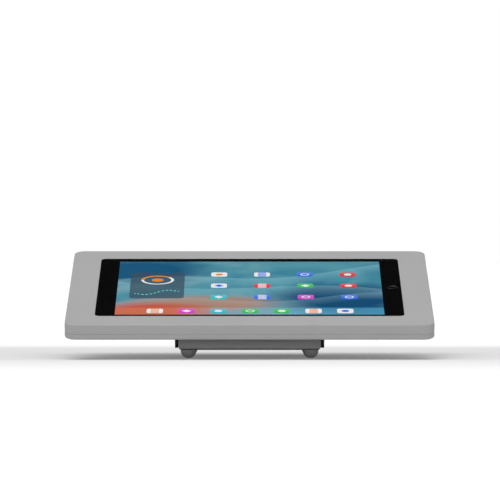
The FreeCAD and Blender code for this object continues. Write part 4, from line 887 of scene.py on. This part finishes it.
def cradles():
    """Foam corners round the tablet, each an angle with softened edges."""
    # The corner of the foam's inner face, the radii of its two faces there, and the length of its legs
    corner_x, corner_y, inner, outer, leg = 153.15, 110.6, 10.3, 20.75, 22.0
    low, high, soft, steps = FLOOR_TOP, PLATE_UNDER - 1.0, 0.4, 8
    section = [(inner, low), (outer - soft, low), (outer, low + soft), (outer, high - soft)]
    section += [(outer - soft, high), (inner + soft, high), (inner, high - soft)]
    # The turns of the section round the corner, each with its shift along the legs
    turns = [(math.pi / 2 * step / steps, 0, 0) for step in range(steps + 1)]
    turns = [(0, 0, inner - leg), *turns, (math.pi / 2, inner - leg, 0)]
    mesh = bmesh.new()
    for i, j in CORNERS:
        loops = []
        for angle, shift_x, shift_y in turns:
            x, y = corner_x - inner + shift_x, corner_y - inner + shift_y
            points = [(x + reach * math.cos(angle), y + reach * math.sin(angle), z) for reach, z in section]
            loops.append([Vector((x * i, y * j, z)) for x, y, z in points])
        loft(loops, mesh=mesh)
    piece = add_piece("foam_corners", mesh, "black_foam", "corner_cradles", sharp=50)


def window_seal():
    """The foam strip between the window's rim and the glass, whose lip lines the window."""
    lip_top, width = -0.15, 1.85
    section = [(-width, RIM_UNDER), (0.0, RIM_UNDER), (0.0, lip_top - 0.05), (0.05, lip_top)]
    section += [(0.22, lip_top), (0.3, lip_top - 0.1), (0.34, GLASS_TOP + 0.2), (0.3, GLASS_TOP)]
    section += [(-width, GLASS_TOP), (-width - 0.05, (GLASS_TOP + RIM_UNDER) / 2)]
    mesh = loft(frames(WINDOW, section), closed=True)
    piece = add_piece("window_seal", mesh, "black_foam", "window_gasket", sharp=50)


def node_mesh(node):
    """A copy of a node's mesh with its faces joined."""
    mesh = bmesh.new()
    mesh.from_mesh(frame["nodes"][node].data)
    bmesh.ops.remove_doubles(mesh, verts=mesh.verts, dist=WELD)
    return mesh


def bonded(name, node, slot, lift):
    """A layer behind the glass, lifted into it by a few hundredths of a millimetre, as they are bonded."""
    raised = Matrix.Translation(HEAD.to_3x3() @ Vector((0, 0, lift * MM)))
    add_piece(name, node_mesh(node), slot, node, place=raised)


def folded_sheet(name, node, body, slot):
    """The folded sheet of a node with its cut edges broken, as they are under a coat of powder."""
    mesh = node_mesh(node)
    bmesh.ops.dissolve_limit(mesh, angle_limit=math.radians(0.6), verts=mesh.verts, edges=mesh.edges)
    piece = put(name, plain_mesh(name, mesh))
    broken, sharp = piece.modifiers.new("broken_edges", "BEVEL"), 40
    give(broken, width=0.0004, segments=2, limit_method="ANGLE", angle_limit=math.radians(sharp))
    stand_for(smoothed(settled(piece), sharp), slot, body, node)


# Fasteners and feet


def socket_screw(profile, key, key_depth):
    """A screw along z with its head up. The profile goes from the tip to the rim of the socket."""
    top = profile[-1][1]
    loops = rings(profile) + [ring(top, key * 1.16)]
    loops += [ring(height, flats=key) for height in (top - 0.12 * key, top - key_depth)]
    return loft(loops + [ring(top - key_depth - 0.3 * key, 0.05)])


def threaded(radius, low, high, pitch):
    """Radius and height of the crests and roots of a thread between two heights."""
    root, crest, half_flat = radius * 0.9, pitch / 2, pitch * 0.05
    turns = max(int((high - low) / pitch), 1)
    points = []
    for turn in range(turns):
        start = low + (high - low) * turn / turns
        points += [(root, start), (radius, start + crest - half_flat), (radius, start + crest + half_flat)]
    return points + [(root, high)]


def head_screws(name, profile, key, key_depth, places, lift, node):
    """Socket screws that go up into the head, seated a little above or below the shell's lower face."""
    unit = socket_screw(profile, key, key_depth)
    unit.transform(Matrix.Rotation(math.pi, 4, "X"))
    spots = [(x, y, SHELL_BOTTOM + lift) for x, y in places]
    set_out(name, unit, spots, "dark_steel", "head", node, HEAD)


def cover_screws():
    """Eight low-head socket screws, sunk in the shell."""
    seat, tip = 1.3, 7.3
    profile = [(0.9, -tip), (1.2, -tip + 0.3)] + threaded(1.45, -tip + 0.4, -seat - 1, 0.5)
    profile += [(1.45, -seat), (2.65, -seat), (2.8, -seat + 0.15), (2.8, -0.4), (2.62, -0.1), (2.4, 0.0)]
    head_screws("shell_screws", profile, 1.0, 0.75, BOSS_PLACES, 0.2, "cover_screws")


def plate_screws():
    """Four pan-head screws that hold the tilt bracket to the shell."""
    profile = [(1.6, -8.0)] + threaded(1.95, -7.6, -0.4, 0.7) + [(1.95, 0.0), (3.85, 0.0), (4.0, 0.15)]
    profile += [(4.0, 0.7), (3.86, 1.25), (3.5, 1.8), (3.0, 2.25), (2.5, 2.5), (2.2, 2.6)]
    head_screws("bracket_screws", profile, 1.25, 1.3, PLATE_SCREW_PLACES, -3, "plate_screws")


def side_pair(name, mesh, centre, slot, node):
    """A unit drawn up z, turned out to each side of the base."""
    mesh.transform(Matrix.Rotation(math.pi / 2, 4, "Y"))
    one = bpy.data.meshes.new("side")
    mesh.to_mesh(one)
    mesh.transform(Matrix.Rotation(math.pi, 4, "Z"))
    mesh.from_mesh(one)
    bpy.data.meshes.remove(one)
    set_out(name, mesh, [(0, centre.y, centre.z)], slot, "base", node)


def side_bolts(name, centre, radius, head, rise, tip, pitch, key, node):
    """A pair of domed socket bolts through the cheeks and side walls."""
    thread_end, edge, rim = tip + 12, 0.2, 0.3
    profile = [(radius * 0.82, tip), (radius * 0.95, tip + 0.3)]
    profile += threaded(radius, tip + 0.5, thread_end, pitch) + [(radius, thread_end + 0.4)]
    profile += [(radius, BOLT_SEAT), (head - edge, BOLT_SEAT)]
    profile += [(head, BOLT_SEAT + edge), (head, BOLT_SEAT + rise * rim)]
    # The dome takes up this share of the head's radius, from the rim to the socket
    domed, angles = 0.62, [math.radians(angle) for angle in range(22, 73, 10)]
    for angle in angles:
        reach = head * (1 - domed + domed * math.cos(angle))
        height = rise * (rim + (1 - rim) * math.sin(angle) / math.sin(angles[-1]))
        profile.append((reach, BOLT_SEAT + height))
    side_pair(name, socket_screw(profile, key, rise * 0.55), centre, "dark_steel", node)


def side_washers(name, centre, bore, radius, start, thickness, slot, node, gap=0):
    """A pair of washers with broken edges, split through if gap, in degrees, is given."""
    edge, end = min(0.15, thickness / 4), start + thickness
    section = [(bore, start + edge), (bore + edge, start), (radius - edge, start), (radius, start + edge)]
    section += [(radius, end - edge), (radius - edge, end), (bore + edge, end), (bore, end - edge)]
    if gap:
        slant, turn, slices = 0.8 / radius, math.tau - math.radians(gap), []
        for index in range(RING_POINTS + 1):
            angle = turn * index / RING_POINTS
            slices.append([polar(reach, angle + (z - start) * slant, z) for reach, z in section])
        mesh = loft(slices)
    else:
        mesh = loft(rings(section), closed=True)
    side_pair(name, mesh, centre, slot, node)


def nut(bore, flats, low, high):
    """A chamfered hexagon nut about z."""
    corner = flats / math.cos(math.pi / 6)
    sink, mouth, face, shoulder = (corner - flats) * 0.58, bore + 0.25, flats * 0.96, (flats + corner) / 2
    loops = [ring(low, mouth), ring(low, face)]
    loops += [ring(low + sink * 0.4, shoulder, flats), ring(low + sink, corner, flats)]
    loops += [ring(high - sink, corner, flats), ring(high - sink * 0.4, shoulder, flats)]
    loops += [ring(high, face), ring(high, mouth), ring(high - 0.3, bore), ring(low + 0.3, bore)]
    return loft(loops, closed=True)


def side_nuts(name, centre, bore, flats, outer_face, rise, node):
    """A pair of nuts inside the base."""
    mesh = nut(bore, flats, outer_face - rise, outer_face)
    mesh.transform(Matrix.Rotation(math.pi / 6, 4, "Z"))
    side_pair(name, mesh, centre, "zinc_steel", node)


def side_hardware():
    """The pivot and the clamp, from the nuts inside the base out to the bolt heads."""
    pivot, wall = PIVOT / MM, BASE_HALF - BASE_SHEET
    spring, nut_rise, clamp_nut_rise, proud = wall - WASHER, 6.5, 5, 1.5
    tip, clamp_tip = spring - nut_rise - proud, wall - clamp_nut_rise - proud
    bore, clamp_bore = 4.05, 3.05
    side_bolts("pivot_pins", pivot, 4.0, 7.0, 4.0, tip, pitch=1.25, key=2.5, node="pivot_bolts")
    side_bolts("clamp_pins", CLAMP, 3.0, 5.25, 3.3, clamp_tip, pitch=1.0, key=2.0, node="clamp_bolts")
    side_washers("pivot_rings", pivot, bore, 7.5, CHEEK_FACE, WASHER, "dark_steel", "pivot_washers")
    side_washers("friction_rings", pivot, bore, 7.5, BASE_HALF, 0.45, "washer_nylon", "friction_washers")
    side_washers("clamp_rings", CLAMP, clamp_bore, 6.0, CHEEK_FACE, WASHER, "dark_steel", "clamp_washers")
    side_washers("spring_rings", pivot, bore, 6.5, spring, WASHER, "zinc_steel", "spring_washers", gap=7)
    side_nuts("pivot_lock_nuts", pivot, bore, 6.5, spring, nut_rise, "pivot_nuts")
    side_nuts("clamp_weld_nuts", CLAMP, clamp_bore, 5.0, wall, clamp_nut_rise, "clamp_nuts")


def feet():
    """Four round-nosed rubber feet, with a moulding line and a small rim, and their studs and nuts."""
    low, high = (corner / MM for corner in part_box("rubber_feet"))
    height, x = high.z, (high.x - low.x) / 2 - FOOT_RADIUS
    places = [(x * side, y, 0) for side in (-1, 1) for y in (low.y + FOOT_RADIUS, high.y - FOOT_RADIUS)]
    stud_end, floor_top, stud_hole, steps = height - 5.8, height + BASE_SHEET, 2.05, 14
    dome = math.sqrt(FOOT_RADIUS**2 - FOOT_FLAT**2)
    start = math.asin(FOOT_FLAT / FOOT_RADIUS)
    profile = [(0.4, 0), (FOOT_FLAT, 0)]
    for step in range(1, steps + 1):
        angle = start + (math.pi / 2 - start) * step / steps
        profile.append((FOOT_RADIUS * math.sin(angle), dome - FOOT_RADIUS * math.cos(angle)))
    profile += [(FOOT_RADIUS, height - 0.25), (FOOT_RADIUS - 0.25, height)]
    profile += [(stud_hole, height), (stud_hole, stud_end), (0.2, stud_end - 0.05)]
    set_out("feet", loft(rings(profile)), places, "foot_rubber", "base", "rubber_feet")

    stud_top = floor_top + 4.4
    stud = [(1.8, stud_end)] + threaded(2.0, stud_end + 0.3, stud_top - 0.3, 0.7) + [(1.6, stud_top)]
    set_out("foot_pins", loft(rings(stud, 24)), places, "zinc_steel", "base", "foot_studs")
    lock_nut = nut(stud_hole, 3.5, floor_top, floor_top + 3.2)
    set_out("foot_lock_nuts", lock_nut, places, "zinc_steel", "base", "foot_nuts")


# Stage


def dress_nodes():
    """Gives each CAD node that is shown the finish of its slot."""
    slots = {row["node"]: row["material_slot"] for row in frame["record"]["subparts"]}
    for name, node in frame["nodes"].items():
        coat(node.data, slots[name])


def floor():
    """Pale floor that keeps the shadow, with painted shade: darker in a band under the part and behind it."""
    data = bpy.data.meshes.new("floor")
    data.from_pydata([(i * FLOOR_HALF, j * FLOOR_HALF, 0) for i, j in CORNERS], [], [(0, 1, 2, 3)])
    plane = put("floor", data)
    pale = grey(FLOOR_TONE)
    shader, place = new_material("floor", pale, 0.9, Specular_IOR_Level=0.0)
    # Painted shade: the colour is darker in a band under the part and behind it, fading back to pale at the sides
    band = ramp(along(place, "Y") / 2.0 + 0.5, [(level, grey(tone)) for level, tone in FLOOR_TONES])
    away = ((along(place, "X").reach() - FLOOR_REACH) / FLOOR_FADE).math("SMOOTH_MIN", 1.0, 0.5).share()
    wire(shader["Base Color"], away.mix(band, pale))
    seen = Field(add_node(place.tree, "ShaderNodeLightPath").outputs["Is Camera Ray"])
    wire(shader["Emission Color"], (1, 1, 1, 1))
    wire(shader["Emission Strength"], seen * FLOOR_GLOW)
    data.materials.append(MATERIALS["floor"])


def surroundings():
    """White all round for the camera and the glass. Gloss sees white low down and a dim studio above it."""
    scene.world = give(bpy.data.worlds.new("studio"), use_nodes=True)
    tree = scene.world.node_tree
    path = fields(add_node(tree, "ShaderNodeLightPath"))
    height = along(Field(add_node(tree, "ShaderNodeTexCoord").outputs["Generated"]), "Z")
    low_white = (height * -9.0 + 2.6).share()
    overhead = height.at_least(0.0).power(5.0)
    is_seen = path["Is Camera Ray"].at_least(path["Is Transmission Ray"])
    is_gloss = path["Is Glossy Ray"] * is_seen.rest()
    is_light = (is_seen + is_gloss).rest()
    gloss = low_white * (1.0 - GLOSS_DIM) + overhead * GLOSS_TOP + GLOSS_DIM
    light = overhead * DOME_TOP + DOME_SIDES
    background = tree.nodes["Background"].inputs
    wire(background["Color"], (1, 1, 1, 1))
    wire(background["Strength"], is_seen + is_gloss * gloss + is_light * light)


def lamps():
    """One broad lamp above and a weaker one in front."""
    for name, aim, spread, power in LAMPS:
        lamp = give(bpy.data.lights.new(name, "SUN"), angle=math.radians(spread), energy=power)
        put(name, lamp).rotation_euler = Vector(aim).to_track_quat("-Z", "Y").to_euler()


def camera():
    """Level, square to the front, far away through a long lens."""
    data = give(bpy.data.cameras.new("camera"), sensor_width=36.0, lens=LENS, clip_end=100.0)
    scene.camera = give(put("camera", data), location=CAMERA_PLACE, rotation_euler=(math.pi / 2, 0, 0))


scene.view_settings.view_transform = "Standard"
camera()
dress_nodes()
front_cover()
rear_shell()
bonded("ink_border", "bezel_mask", "mask_ink", 0.03)
bonded("lit_panel", "display_panel", "screen", 0.11)
bonded("front_eye", "front_camera", "lens_glass", 0.12)
folded_sheet("tilting_bracket", "tilt_bracket", "head", "bracket_paint")
folded_sheet("desk_base", "base_bracket", "base", "base_paint")
cover_screws()
plate_screws()
side_hardware()
feet()
grommet()
home_button()
cushions()
cradles()
window_seal()
floor()
surroundings()
lamps()

bpy.context.view_layer.update()
